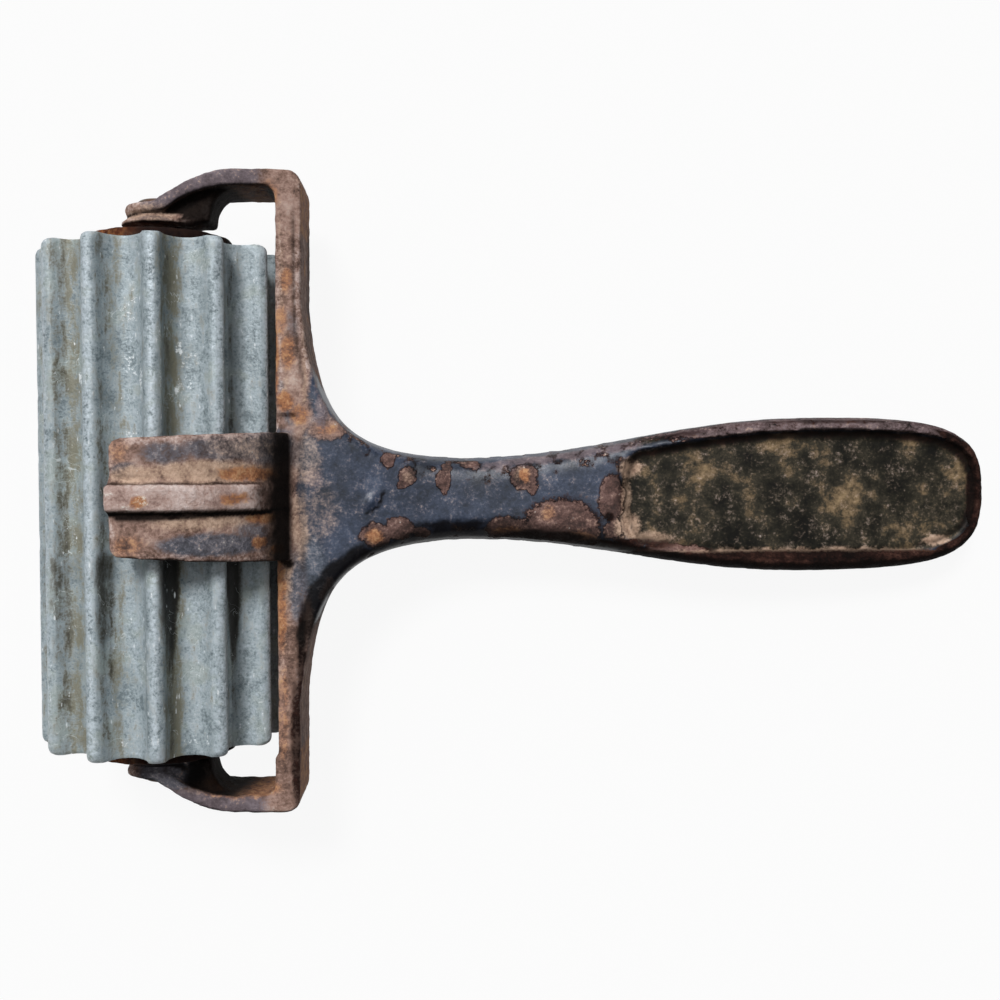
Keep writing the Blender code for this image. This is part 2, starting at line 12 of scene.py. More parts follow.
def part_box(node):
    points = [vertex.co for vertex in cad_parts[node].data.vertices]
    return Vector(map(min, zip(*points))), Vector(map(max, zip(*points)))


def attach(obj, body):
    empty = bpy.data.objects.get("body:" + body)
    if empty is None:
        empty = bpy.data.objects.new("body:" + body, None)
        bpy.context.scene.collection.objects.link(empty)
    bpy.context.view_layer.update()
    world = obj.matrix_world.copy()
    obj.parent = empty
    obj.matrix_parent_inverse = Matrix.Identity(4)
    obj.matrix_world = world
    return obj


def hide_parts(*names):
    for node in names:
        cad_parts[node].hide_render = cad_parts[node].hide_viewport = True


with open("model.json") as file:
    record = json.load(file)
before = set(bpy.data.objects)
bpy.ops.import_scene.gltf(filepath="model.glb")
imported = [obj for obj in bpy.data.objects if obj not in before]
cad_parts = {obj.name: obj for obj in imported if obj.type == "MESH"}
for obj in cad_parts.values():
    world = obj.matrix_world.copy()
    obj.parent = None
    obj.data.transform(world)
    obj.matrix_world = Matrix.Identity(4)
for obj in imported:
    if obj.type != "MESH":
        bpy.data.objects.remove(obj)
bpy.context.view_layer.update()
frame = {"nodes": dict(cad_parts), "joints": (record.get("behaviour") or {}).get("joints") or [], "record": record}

# Fluting iron: a rusty japanned casting, an oxidised zinc roller, its two rusty iron heads and the
# axle, as they look on a white table in soft daylight from the picture's top.

MM = 0.001

# Place of the roller's axis, and the tool's own directions, tipped as it lies on the table
AXIS = Vector(frame["joints"][0]["pos_m"])
TOOL_UP = Vector(frame["record"]["mounts"][1]["axis"])
TOOL_LONG = Vector((TOOL_UP.z, 0, -TOOL_UP.x))

# Camera of the photograph, measured from the roller's axis
CAMERA_PLACE = Vector((82.823, 5.628, 234.278)) * MM
CAMERA_TURN = (-0.0284, 0.0614, -0.0036)
CAMERA_LENS = 42.37

# Lamps: name, strength in watts per square metre, width in degrees and the direction in which each stands.
# The even fill is a share of white.
LAMPS = (
    ("window", 2.6, 16, (-0.14, 0.64, 1.0)),
    ("sky", 0.95, 90, (-0.10, 0.5, 1.0)),
)
FILL = 0.08

# Half width of the table in metres, and how bright it is and how much of that shows where it is looked at
TABLE_HALF = 1.5
TABLE_GLOW, TABLE_SHARE = 1.12, 0.82

# Fineness of the meshes. The roller is cut across in even steps, with closer cuts in from each end.
CASTING_VOXEL = 0.55 * MM
HEAD_VOXEL = 0.5 * MM
ROLLER_STEP = 1.25 * MM
END_CUTS = (1.0 * MM, 1.4 * MM, 1.9 * MM, 2.5 * MM)
FIRST_CUT, LAST_CUT = 3.2 * MM, 3.0 * MM
WELD = 0.002 * MM
SLIVER = 0.06 * MM
SHARP_ANGLE = math.radians(42)

# Roller and hood, as in the CAD model
ROLLER_RADIUS = 24.0 * MM
VALLEY_RADIUS = 19.0 * MM
FLUTES = 12
PITCH = 2 * math.pi / FLUTES
HOOD_RADIUS = 28.6 * MM

# Sizes of the lumps of rust on the casting, how far the outlines of its patches wander in mm, and how far a
# sharp edge stands out of the evened surface
BROAD_LUMP, LUMP, PIT, STRAY_LUMP = 7 * MM, 2.6 * MM, 1.3 * MM, 1.8 * MM
STRAY = 0.45
EDGE_RISE = 0.12 * MM

# How deep wear and rust go into the casting in mm: everywhere, under scale, in pits, at edges and in broad
# waves of the yoke
SKIN_LOSS, SCALE_LOSS, PIT_LOSS, EDGE_LOSS, WAVE_LOSS = 0.05, 0.05, 0.09, 0.07, 0.04

# Blister of lifted paint on the neck: middle, half length and half width in mm in the top view, which way it
# runs, and how high it stands in mm
BLISTER_PLACE = (-29.2, -1.7)
BLISTER_HALF = (2.3, 1.4)
BLISTER_TURN = math.radians(60)
BLISTER_RISE = 0.6

# Where the parts of the casting begin, in mm. Each pair goes from where a part doesn't show to where it is
# full. LENGTH is along the handle from the axle, HEIGHT is square to it, X and Y are as in the top view, and
# FACING is a share of a normal, 1 for straight up or straight to the side. TILT is how far the neck's side
# turns down the picture, and REACH how far it is to that side.
TOP_FACING = (0.1, 0.5)
YOKE_X = (-42.5, -44.5)
HOOD_HEIGHT = (9, 10.5)
HOOD_HALF_WIDTH = 15
RIB_RISE = (0.7, 1.2)
# Painted shadow of the rib on the hood, and the thinner line of painted shade on its other side: distances from
# the rib's middle
RIB_SHADOW_INNER, RIB_SHADOW_OUTER = (2.3, 2.5), (3.5, 3.0)
RIB_CORNER_SHADE_INNER, RIB_CORNER_SHADE_OUTER = (2.35, 2.55), (3.1, 2.75)
ROOT_LENGTH = (20.9, 24.9)
ARM_Y = (50.5, 51.5)
ARM_TOP_HEIGHT = (6.2, 7.2)
ARM_INNER_FACING = (0.5, 0.1)
ARM_RUST_X = (-60, -53)
ARM_WEAR_X = (-48, -53)
UPPER_BOSS_X, LOWER_BOSS_X = -70, -67
HOLLOW_SHADE_FROM_BOSS = (-1.5, 1.5)
# Where the painted shade on the arms' inner sides begins past the boss and where it ends before the crossbar, in x
HOLLOW_SHADE_X = (-52.5, -57.5)
COLLAR_Y = (54.4, 53.2)
COLLAR_X = (-62, -67)
SEAM_X = -43.8
SEAM_BEND, SEAM_BEND_Y = 0.0054, 40
SEAM_HALF_WIDTH = (0.5, 0.12)
SEAM_LOW_Y, SEAM_HIGH_Y = (19, 24), (58, 52)
NECK_MIDDLE = (-10, -21)
NECK_HALF = (37, 19)
NECK_TOP = 27
LOW_SIDE_TILT, LOW_SIDE_FACING = (0.06, 0.42), (-0.2, 0.1)
BAND_REACH = (4.3, 3.1)
BAND_Y, BAND_X = (-34, -27), (24, 14)
PANEL_LENGTH = (92, 93)
PANEL_HEIGHT = (4.9, 4.3)
PANEL_HALF_WIDTH = (14.2, 13.6)
RIM_HEIGHT = (4.6, 5.0)
RIM_SIDE_FACING, RIM_SIDE_HEIGHT = (0.1, 0.35), (0, 2.5)
LOW_RIM_LENGTH, LOW_RIM_Y = (84, 96), (11.6, 13.2)
UPPER_RIM_LENGTH, UPPER_RIM_Y = (88, 96), (9.5, 11.5)
END_RIM_LENGTH = (163.4, 165.4)
ROUND_RIM_LENGTH = (161.4, 164.4)
CRISP_X = (-38, -31)
FLECKS_X = (-56, -66)

# Wear of the roller: how deep the casting's waves, the dents and the nicks in its crests go in mm, how many
# nicks it has, and how far down and how far in its crest ends are blunted
WAVE_DEPTH, DENT_DEPTH = 0.08, 0.26
NICK_DEPTH, NICK_REACH = (0.12, 0.35), (0.9, 2.0)
NICKS = 60
BLUNT_DEPTH, BLUNT_LENGTH = 1.5 * MM, 1.9 * MM

# Rust on the heads: how much is gone everywhere, and how deep its lumps and pits are, in mm, and their sizes
HEAD_LOSS, HEAD_LUMP_DEPTH, HEAD_PIT_DEPTH = 0.06, 0.14, 0.08
HEAD_LUMP, HEAD_PIT = 2.4 * MM, 1.1 * MM
# Painted shade on each head's half towards the handle: x from the axis where it begins and where it is full
HEAD_SHADE_X = (-6 * MM, 2 * MM)

# A noise texture's lumps are about half of its unit wide
NOISE_UNIT = 0.5

# Sockets of the Mix node, which Blender numbers by their type: the share of B, both numbers and the number
# that comes out, both colours and the colour that comes out
FACTOR = 0
NUMBER_A, NUMBER_B, NUMBER_OUT = 2, 3, 0
COLOUR_A, COLOUR_B, COLOUR_OUT = 6, 7, 2

# What shows where on the casting, in mm in the top view: middle x, middle y, half length, half width
# and how sure it is. The first list is crisp flakes of rust on the painted handle.
RUST_PATCHES = (
    (-22.0, 3.2, 1.8, 2.0, 1.0),
    (-23.3, 1.6, 1.1, 1.0, 0.9),
    (-15.1, 2.1, 1.4, 2.5, 1.0),
    (-14.4, 4.8, 1.2, 1.0, 0.9),
    (-28.4, -8.6, 3.0, 2.4, 1.0),
    (-23.7, -7.3, 2.8, 2.3, 1.0),
    (-19.6, -8.1, 1.8, 1.2, 1.0),
    (-2.4, -8.2, 4.6, 3.2, 1.0),
    (8.6, -7.5, 7.6, 6.2, 1.0),
    (18.9, -1.3, 2.6, 5.0, 1.0),
    (19.0, -7.8, 1.8, 1.7, 1.0),
    (-26.0, 6.5, 1.5, 1.6, 0.9),
    (-9.7, 5.5, 2.2, 1.0, 0.8),
    (1.0, 3.0, 3.0, 2.6, 1.0),
    (2.6, 0.8, 1.2, 1.4, 0.8),
    (-42.9, 15.4, 2.8, 3.2, 1.0),
    (-37.7, 12.5, 3.8, 2.2, 1.0),
    (31.0, -12.4, 9.0, 1.6, 0.8),
)

# Thin blue-black paint that is left on the rusty hood and crossbar
FILM_PATCHES = (
    (-62.4, 7.6, 4.4, 2.2, 0.8),
    (-52.6, 8.6, 7.4, 2.6, 0.85),
    (-55.4, -9.2, 8.2, 2.1, 1.15),
    (-49.4, -7.0, 2.4, 2.2, 0.7),
    (-69.4, 4.8, 2.6, 1.3, 0.7),
    (-47.2, 9.5, 3.6, 3.6, 1.0),
    (-44.4, 15.5, 1.8, 2.2, 0.8),
    (-46.6, 20.6, 1.2, 1.8, 0.7),
    (-69.0, -55.6, 7.0, 3.6, 1.1),
    (-44.0, 33.0, 1.2, 3.2, 0.5),
    (-42.0, 7.6, 2.8, 3.4, 0.8),
    (-43.6, -19.0, 1.6, 6.4, 1.0),
    (-41.4, -15.0, 3.4, 6.4, 0.9),
)

# Tan and cream where the rust is dry or dusty
PALE_PATCHES = (
    (22.4, 4.7, 2.3, 1.9, 1.0),
    (22.0, -7.4, 2.4, 2.6, 0.9),
    (26.5, -9.6, 4.4, 1.3, 0.7),
    (21.6, -2.0, 1.0, 4.6, 0.6),
    (0.4, 3.4, 1.6, 1.6, 0.45),
    (-22.0, 3.2, 1.2, 1.3, 0.4),
    (-42.8, -6.6, 1.6, 7.2, 0.6),
    (-39.0, -4.0, 3.4, 5.4, 0.28),
    (-41.6, 7.0, 3.0, 5.6, 0.36),
    (-50.0, 8.8, 6.0, 2.4, 0.4),
    (-56.0, 4.3, 8.6, 1.9, 1.05),
    (-67.0, 3.8, 5.0, 1.6, 0.9),
    (-57.0, -4.9, 8.0, 1.5, 0.8),
    (85.4, -10.4, 2.6, 0.9, 1.0),
    # A tan strip on the lower inner wall of the panel, partly dust and partly painted light on that wall, which
    # faces the key lamp
    (56.0, -12.6, 30.0, 0.7, 0.75),
    (-73.0, 54.0, 6.0, 2.6, 0.6),
    (-62.0, -58.6, 4.0, 1.2, 0.35),
    (-46.4, 42.0, 0.5, 14.0, 0.5),
    (-45.4, 24.0, 0.5, 9.0, 0.5),
    (-41.9, 36.0, 0.5, 22.0, 0.6),
    (-46.0, -16.0, 1.6, 7.0, 0.6),
)

# Bright orange rust
ORANGE_PATCHES = (
    (-50.0, 3.9, 4.2, 1.3, 0.95),
    (-69.0, -9.4, 3.0, 2.6, 0.45),
    (-70.6, 8.6, 2.0, 3.0, 0.4),
    (-47.9, -4.4, 1.9, 1.1, 1.0),
    (-48.2, -9.0, 1.1, 1.1, 0.9),
    (-45.9, -10.6, 1.0, 0.9, 0.9),
    (-66.2, -1.0, 1.5, 1.1, 0.9),
    (-51.2, -0.7, 2.2, 1.2, 0.85),
    (-47.8, 26.0, 1.0, 9.0, 0.9),
    (-45.0, 27.6, 1.5, 3.6, 0.7),
    (-45.2, 42.0, 1.3, 2.4, 0.65),
    (-46.4, 34.0, 1.2, 3.0, 0.6),
    (-45.6, 18.0, 1.8, 2.0, 0.9),
    (-42.9, 15.4, 1.8, 2.2, 0.7),
    (-37.7, 12.5, 2.4, 1.2, 0.55),
    (-48.5, 58.6, 2.4, 2.6, 0.6),
    (-46.8, -22.0, 1.2, 10.0, 0.8),
    (-46.6, -44.0, 1.2, 10.0, 0.5),
    (1.0, 3.2, 1.2, 1.4, 0.9),
    (-28.6, -8.8, 1.8, 1.5, 0.75),
    (12.0, -9.4, 3.4, 1.4, 0.5),
    (6.0, -4.4, 1.4, 1.6, 0.4),
    (-2.6, -8.4, 3.0, 1.6, 0.5),
    (-51.0, 57.4, 3.4, 2.6, 1.0),
    (-55.0, -58.4, 7.4, 2.0, 1.0),
    (83.0, -11.4, 5.0, 1.2, 0.8),
)

# Smooth pinkish brown where hands have worn the iron
SMOOTH_PATCHES = (
    (-4.6, 5.0, 4.0, 1.2, 0.7),
    (2.0, 6.4, 6.0, 1.2, 0.8),
    (9.0, 7.8, 7.0, 1.4, 0.9),
    (17.0, 9.6, 8.0, 1.9, 1.0),
    (-40.4, 3.0, 2.0, 2.4, 0.6),
    (-38.6, 16.0, 1.2, 5.0, 0.7),
)

# Dark red-black rust and grime, and painted shade along the grip's lower rim and end, the neck's lower edge
# and the lower crossbar's outer side
DARK_PATCHES = (
    (-43.8, -50.0, 1.4, 14.0, 0.7),
    (-42.8, -36.0, 0.9, 16.0, 0.75),
    (-48.2, 24.6, 0.3, 4.0, 0.8),
    (-45.2, 15.4, 2.6, 0.7, 0.6),
    (60.0, -14.9, 34.0, 1.3, 1.0),
    (93.6, 0.0, 1.6, 12.0, 0.9),
    (26.0, 11.6, 12.0, 0.8, 0.6),
    (60.0, 14.4, 30.0, 0.7, 0.6),
    (20.3, 5.0, 0.35, 3.0, 0.8),
    (18.2, -5.2, 1.2, 1.0, 0.8),
    (20.0, -10.8, 12.0, 1.2, 0.8),
    (4.0, -9.4, 11.0, 1.6, 0.8),
)

# Black crescent of painted shade under the blister on the neck: x and y in mm in the top view
CRESCENT = ((-29.9, -4.1), (-29.0, -3.7), (-28.1, -3.0), (-27.5, -2.1), (-27.1, -1.1), (-26.9, -0.1))

# White oxide on the zinc: degrees from the top, mm along the axle, half lengths across and along in mm
OXIDE_PATCHES = (
    (-31, 22.5, 1.1, 2.6, 1.0),
    (-27, 17.5, 0.8, 2.0, 0.7),
    (3, 12.0, 3.2, 0.9, 1.0),
    (9, 22.0, 0.7, 3.4, 0.8),
    (4, 25.5, 2.6, 5.0, 0.55),
    (2, 35.0, 2.6, 6.0, 0.5),
    (29, 28.0, 1.5, 1.8, 0.9),
    (27, 20.0, 0.8, 1.2, 1.0),
    (33, 24.0, 2.6, 8.0, 0.4),
    (-62, 22.0, 1.0, 1.6, 0.8),
    (10, -30.0, 1.2, 9.0, 0.4),
    (-2, -46.0, 4.0, 1.4, 0.4),
    (33, -46.5, 4.0, 1.2, 0.4),
)

# The dirt and painted shade in each flute, clockwise from the one right of the first crest right of the
# top: how thick they are, how much the painted shadow of the hood thickens them just below it, where they lie
# and how wide they are as shares of the pitch, and how much olive silt lies beside them
FLUTE_DIRT_AND_SHADE = (
    (0.62, 1.75, 0.24, 0.10, 0.90),
    (0.90, 2.00, 0.54, 0.09, 0.30),
    (0.80, 0.60, 0.50, 0.10, 0.20),
    (0.70, 0.00, 0.20, 0.08, 0.60),
    (0.90, 0.00, 0.20, 0.08, 0.30),
    (0.50, 0.00, 0.20, 0.08, 0.70),
    (0.80, 0.00, 0.20, 0.08, 0.40),
    (0.60, 0.00, 0.20, 0.08, 0.80),
    (0.90, 0.00, 0.20, 0.08, 0.30),
    (0.60, 0.20, 0.18, 0.08, 0.70),
    (0.70, 0.15, 0.18, 0.08, 0.75),
    (0.65, 0.50, 0.18, 0.08, 0.50),
)
SILT_PLACE, SILT_WIDTH = 0.3, 0.19
CREST_WIDTH = 0.07


def linear(code):
    """Colour code in sRGB as linear red, green, blue and alpha."""
    parts = [int(code[place:place + 2], 16) / 255 for place in (1, 3, 5)]
    return [part / 12.92 if part <= 0.04045 else ((part + 0.055) / 1.055) ** 2.4 for part in parts] + [1]


def add(tree, kind, sockets=None, stops=None, **settings):
    """Add a node with its settings, give its sockets their values or links, and return it."""
    item = tree.nodes.new(kind)
    for name, value in settings.items():
        setattr(item, name, value)
    for key, value in (sockets or {}).items():
        if isinstance(value, str):
            value = linear(value)
        if isinstance(value, bpy.types.NodeSocket):
            tree.links.new(value, item.inputs[key])
        else:
            item.inputs[key].default_value = value
    if stops:
        ramp = item.color_ramp
        while len(ramp.elements) < len(stops):
            ramp.elements.new(1)
        for element, (place, code) in zip(ramp.elements, stops):
            element.position = place
            element.color = linear(code)
    return item


def new_surface(name):
    """New material with only its output and its principled shader."""
    surface = bpy.data.materials.new(name)
    surface.use_nodes = True
    tree = surface.node_tree
    return surface, tree, tree.nodes["Principled BSDF"]


def merged_copy(node):
    """bmesh of a CAD node with its loose triangles joined."""
    shape = bmesh.new()
    shape.from_mesh(frame["nodes"][node].data)
    bmesh.ops.remove_doubles(shape, verts=shape.verts, dist=WELD)
    return shape


def new_piece(name, mesh, surface):
    """Object at the origin that shows a mesh in one material."""
    mesh.name = name
    mesh.materials.clear()
    mesh.materials.append(surface)
    item = bpy.data.objects.new(name, mesh)
    bpy.context.scene.collection.objects.link(item)
    return item


def remeshed_copy(node, voxel, rounds):
    """Even, slightly softened mesh of a CAD node, as a cast or rusted skin needs."""
    shape = merged_copy(node)
    mesh = bpy.data.meshes.new(node + "_copy")
    shape.to_mesh(mesh)
    shape.free()
    rough = bpy.data.objects.new(node + "_copy", mesh)
    bpy.context.scene.collection.objects.link(rough)
    even = rough.modifiers.new("even", "REMESH")
    even.mode = "VOXEL"
    even.voxel_size = voxel
    soft = rough.modifiers.new("soft", "SMOOTH")
    soft.factor = 0.5
    soft.iterations = rounds
    view = bpy.context.evaluated_depsgraph_get()
    finished = bpy.data.meshes.new_from_object(rough.evaluated_get(view))
    bpy.data.objects.remove(rough, do_unlink=True)
    finished.polygons.foreach_set("use_smooth", [True] * len(finished.polygons))
    return finished


def read_points(mesh):
    """Places and normals of a mesh's vertices."""
    places = np.empty(len(mesh.vertices) * 3)
    mesh.vertices.foreach_get("co", places)
    normals = np.empty(len(mesh.vertices) * 3)
    mesh.vertex_normals.foreach_get("vector", normals)
    return places.reshape(-1, 3), normals.reshape(-1, 3)


def write_points(mesh, places, node):
    """Give the vertices their new places, inside the CAD node's own box."""
    low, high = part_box(node)
    mesh.vertices.foreach_set("co", np.clip(places, low, high).ravel())
    mesh.update()


def write_share(mesh, name, values):
    """Keep one number for each vertex, for the material to read."""
    layer = mesh.attributes.new(name, "FLOAT", "POINT")
    layer.data.foreach_set("value", np.asarray(values, np.float32))


def evened(mesh, values, rounds):
    """Values averaged with their neighbours along the edges, several times over."""
    ends = np.empty(len(mesh.edges) * 2, np.int64)
    mesh.edges.foreach_get("vertices", ends)
    first, second = ends.reshape(-1, 2).T
    count = len(mesh.vertices)
    total = np.bincount(first, minlength=count) + np.bincount(second, minlength=count)
    result = values.copy()
    for _ in range(rounds):
        for axis in range(result.shape[1]):
            column = result[:, axis]
            around = np.bincount(first, column[second], count) + np.bincount(second, column[first], count)
            result[:, axis] = around / np.maximum(total, 1)
    return result


def ridges(mesh, places, normals, rounds):
    """How far each vertex stands out of the smoothed surface: above 0 at edges, below in corners."""
    return np.einsum("ij,ij->i", places - evened(mesh, places, rounds), normals)


def grain(places, size, shift, octaves=3):
    """Fractal noise from about -1 to 1 at each place, with lumps of a given size."""
    scaled = places / size + np.array((shift, 2 * shift, 3 * shift))
    return np.array([noise.fractal(point, 0.9, 2.1, octaves) for point in scaled])


def fade(values, none, full):
    """Share that goes smoothly from 0 at one value to 1 at another."""
    share = np.clip((values - none) / (full - none), 0, 1)
    return share * share * (3 - 2 * share)


def patch_share(skin, patches):
    """Share of a kind of patch at each vertex, in the top view."""
    share = np.zeros(len(skin.x))
    for x, y, half_length, half_width, level in patches:
        distance = np.hypot((skin.stray_x - x) / half_length, (skin.stray_y - y) / half_width)
        share = np.maximum(share, level * fade(distance, 1.45, 0.55))
    return share


def blister(skin):
    """Low smooth lump on top of the neck, 1 at its middle."""
    east = skin.x - BLISTER_PLACE[0]
    north = skin.y - BLISTER_PLACE[1]
    along = east * math.cos(BLISTER_TURN) + north * math.sin(BLISTER_TURN)
    across = north * math.cos(BLISTER_TURN) - east * math.sin(BLISTER_TURN)
    distance = np.hypot(along / BLISTER_HALF[0], across / BLISTER_HALF[1])
    return fade(distance, 1, 0.2) * (skin.z > 6)


def crescent(skin):
    """Share of the thin black line of shade under the blister."""
    share = np.zeros(len(skin.x))
    for east, north in CRESCENT:
        distance = np.hypot(skin.x - east, skin.y - north)
        share = np.maximum(share, fade(distance, 0.6, 0.3) * skin.upward)
    return share


def low_side_reach(skin):
    """Distance in mm in the top view from each point of the neck to its side wall away from the key lamp, along
    which painted shade lies.
    """
    near = np.abs(skin.x - NECK_MIDDLE[0]) < NECK_HALF[0]
    near &= np.abs(skin.y - NECK_MIDDLE[1]) < NECK_HALF[1]
    away = 0.5 * skin.normals[:, 0] - skin.normals[:, 1] > 0.5
    wall = near & away & (np.abs(skin.facing) < 0.3) & (skin.z < NECK_TOP)
    tree = kdtree.KDTree(int(wall.sum()))
    for index, (x, y) in enumerate(zip(skin.x[wall], skin.y[wall])):
        tree.insert((x, y, 0), index)
    tree.balance()
    reach = np.full(len(skin.x), math.inf)
    for index in np.flatnonzero(near & (skin.facing > 0)):
        reach[index] = tree.find((skin.x[index], skin.y[index], 0))[2]
    return reach


def survey(mesh):
    """Where each vertex of the casting is in mm, how it faces, and the noises there."""
    places, normals = read_points(mesh)
    x, y, z = places.T / MM
    from_axis = (places - np.array(AXIS)) / MM
    facing = normals @ np.array(TOOL_UP)
    return SimpleNamespace(
        places=places,
        normals=normals,
        x=x,
        y=y,
        z=z,
        sideways=np.abs(y),
        long=from_axis @ np.array(TOOL_LONG),
        high=from_axis @ np.array(TOOL_UP),
        facing=facing,
        upward=fade(facing, *TOP_FACING),
        downward=fade(-facing, *TOP_FACING),
        edge=ridges(mesh, places, normals, rounds=10) / EDGE_RISE,
        broad=grain(places, BROAD_LUMP, shift=3),
        lumps=grain(places, LUMP, shift=11),
        pits=grain(places, PIT, shift=23, octaves=2),
        stray_x=x + STRAY * grain(places, STRAY_LUMP, shift=41, octaves=2),
        stray_y=y + STRAY * grain(places, STRAY_LUMP, shift=53, octaves=2),
    )


def casting_zones(skin):
    """Shares of the parts of the casting that wear and rust in their own way."""
    x, y, long, high = skin.x, skin.y, skin.long, skin.high
    upward, lumps = skin.upward, skin.lumps
    side_facing = skin.normals[:, 1]
    yoke = fade(x - 0.12 * skin.sideways, *YOKE_X)

    # Hood, its rib with a painted shadow line on one side and a thinner line of painted shade in the corner on the
    # other, and its root darkened with painted shade
    hood = fade(high, *HOOD_HEIGHT) * (skin.sideways < HOOD_HALF_WIDTH)
    rib = hood * fade(np.hypot(long, high) - HOOD_RADIUS / MM, *RIB_RISE)
    beside = y - y[rib > 0.5].mean()
    root = hood * fade(long + 0.7 * lumps + 0.5 * skin.broad, *ROOT_LENGTH)
    rib_shadow_line = fade(-beside, *RIB_SHADOW_INNER) * fade(-beside + 0.3 * lumps, *RIB_SHADOW_OUTER)
    rib_corner_shade = fade(beside, *RIB_CORNER_SHADE_INNER) * fade(beside + 0.2 * lumps, *RIB_CORNER_SHADE_OUTER)

    # Arms: worn tops, inner sides darkened with painted shade, and a collar on the upper one
    arm = yoke * fade(skin.sideways, *ARM_Y)
    arm_top = arm * upward * fade(high, *ARM_TOP_HEIGHT)
    collar = arm * (y > 0) * fade(y, *COLLAR_Y) * fade(x, *COLLAR_X)
    hollow = arm * (1 - arm_top) * (1 - 0.8 * collar) * fade(side_facing * np.sign(y), *ARM_INNER_FACING)
    boss_x = np.where(y > 0, UPPER_BOSS_X, LOWER_BOSS_X)
    hollow_shade = hollow * fade(x - boss_x, *HOLLOW_SHADE_FROM_BOSS) * fade(x, *HOLLOW_SHADE_X)

    # Dark seam along the crossbar, and painted shade on the lower side of the neck, which bends away from the key
    # lamp: on the faces that tilt that way, and in a band along its side wall
    swing = np.maximum(0, SEAM_BEND_Y - y)
    seam = fade(np.abs(x - SEAM_X - SEAM_BEND * swing ** 2), *SEAM_HALF_WIDTH)
    seam *= fade(y, *SEAM_LOW_Y) * fade(y, *SEAM_HIGH_Y)
    tilt = -side_facing - 0.32 * fade(x, -40, -44)
    low_side = fade(tilt, *LOW_SIDE_TILT) * fade(skin.facing, *LOW_SIDE_FACING)
    reach = low_side_reach(skin) + 0.5 * lumps + 1.2 * fade(x, -20, -36) + 1.4 * fade(y, -18, -30)
    band = fade(reach, *BAND_REACH) * fade(y, *BAND_Y) * fade(x, *BAND_X)

    # Floor of the panel and the rim round it
    floor = fade(long, *PANEL_LENGTH) * fade(high, *PANEL_HEIGHT) * upward
    floor *= fade(skin.sideways, *PANEL_HALF_WIDTH)
    low_rim = fade(long, *LOW_RIM_LENGTH) * fade(-y, *LOW_RIM_Y)
    rounded = long + 0.9 * np.maximum(0, skin.sideways - 6)
    end_rim = np.maximum(fade(long, *END_RIM_LENGTH), fade(rounded, *ROUND_RIM_LENGTH) * (1 - floor))
    outside = fade(side_facing, *RIM_SIDE_FACING) * fade(high, *RIM_SIDE_HEIGHT)
    upper_rim = fade(long, *UPPER_RIM_LENGTH) * fade(y, *UPPER_RIM_Y)
    upper_rim *= np.maximum(fade(high, *RIM_HEIGHT) * upward, outside)
    return SimpleNamespace(
        yoke=yoke,
        hood=hood,
        rib=rib,
        root=root,
        rib_shadow_line=rib_shadow_line,
        rib_corner_shade=rib_corner_shade,
        arm_top=arm_top,
        hollow=hollow,
        hollow_shade=hollow_shade,
        seam=seam,
        low_side=low_side,
        band=band,
        floor=floor,
        low_rim=low_rim,
        end_rim=end_rim,
        upper_rim=upper_rim,
    )


def casting_shares(skin, zone):
    """How much of each kind of paint, rust, wear or dirt shows at each vertex, for the material to read."""
    upward, edge, broad, lumps = skin.upward, skin.edge, skin.broad, skin.lumps
    flakes = patch_share(skin, RUST_PATCHES)
    worn = np.clip(edge, 0, 1) * fade(lumps + 0.4 * broad, -0.3, 0.5)
    hidden = np.maximum(skin.downward, 0.6 * (1 - upward)) * fade(broad, 0.12, 0.5)
    rims = np.maximum.reduce((0.72 * zone.upper_rim, 0.85 * zone.low_rim, 0.8 * zone.end_rim))
    film = patch_share(skin, FILM_PATCHES) * fade(skin.facing, 0, 0.3)
    handled = patch_share(skin, SMOOTH_PATCHES) * upward
    worn_arm = zone.arm_top * (0.2 + 0.8 * fade(skin.x, *ARM_WEAR_X)) * (1 - 0.8 * film)
    bared = 0.45 * np.clip(edge - 0.3, 0, 1) * zone.yoke * (1 - 0.9 * zone.arm_top)
    # Painted shade in hollows and inner corners that face down or left in the top view
    away = fade(skin.normals[:, 1] + 0.6 * skin.normals[:, 0], 0.3, 0)
    corner_shade = np.clip(-edge - 0.25, 0, 1) * away
    return {
        "rust": np.maximum.reduce((flakes * upward, hidden, zone.yoke, 0.55 * worn, rims)),
        "film": film,
        "pale": patch_share(skin, PALE_PATCHES) * upward,
        "orange": np.maximum.reduce((
            patch_share(skin, ORANGE_PATCHES) * (0.3 + 0.7 * upward),
            0.6 * zone.yoke * (1 - upward) * fade(broad + 0.3 * lumps, 0.1, 0.7),
            0.6 * zone.hollow * fade(skin.x, *ARM_RUST_X),
        )),
        # dark: listed dark rust and grime, with painted shade in those corners and on the grip's lower and end
        # rims
        "dark": np.maximum.reduce((
            patch_share(skin, DARK_PATCHES) * upward,
            0.6 * corner_shade,
            zone.low_rim,
            zone.end_rim,
        )),
        "smooth": np.maximum.reduce((handled, worn_arm, 0.5 * zone.upper_rim)),
        "rubbed": np.maximum(zone.rib * (1 - zone.root), bared),
        "shade": np.maximum.reduce((
            0.98 * zone.root,
            zone.hood * (1 - zone.rib) * np.maximum(zone.rib_shadow_line, 0.75 * zone.rib_corner_shade),
            0.97 * zone.hollow_shade,
            0.82 * zone.low_side,
            0.93 * zone.band * upward * (1 - 0.75 * flakes),
            0.85 * corner_shade,
            0.6 * zone.seam,
            0.95 * crescent(skin),
        )),
        "crisp": fade(skin.x, *CRISP_X),
        "flecks": zone.rib * fade(skin.x, *FLECKS_X),
        "floor": zone.floor,
    }


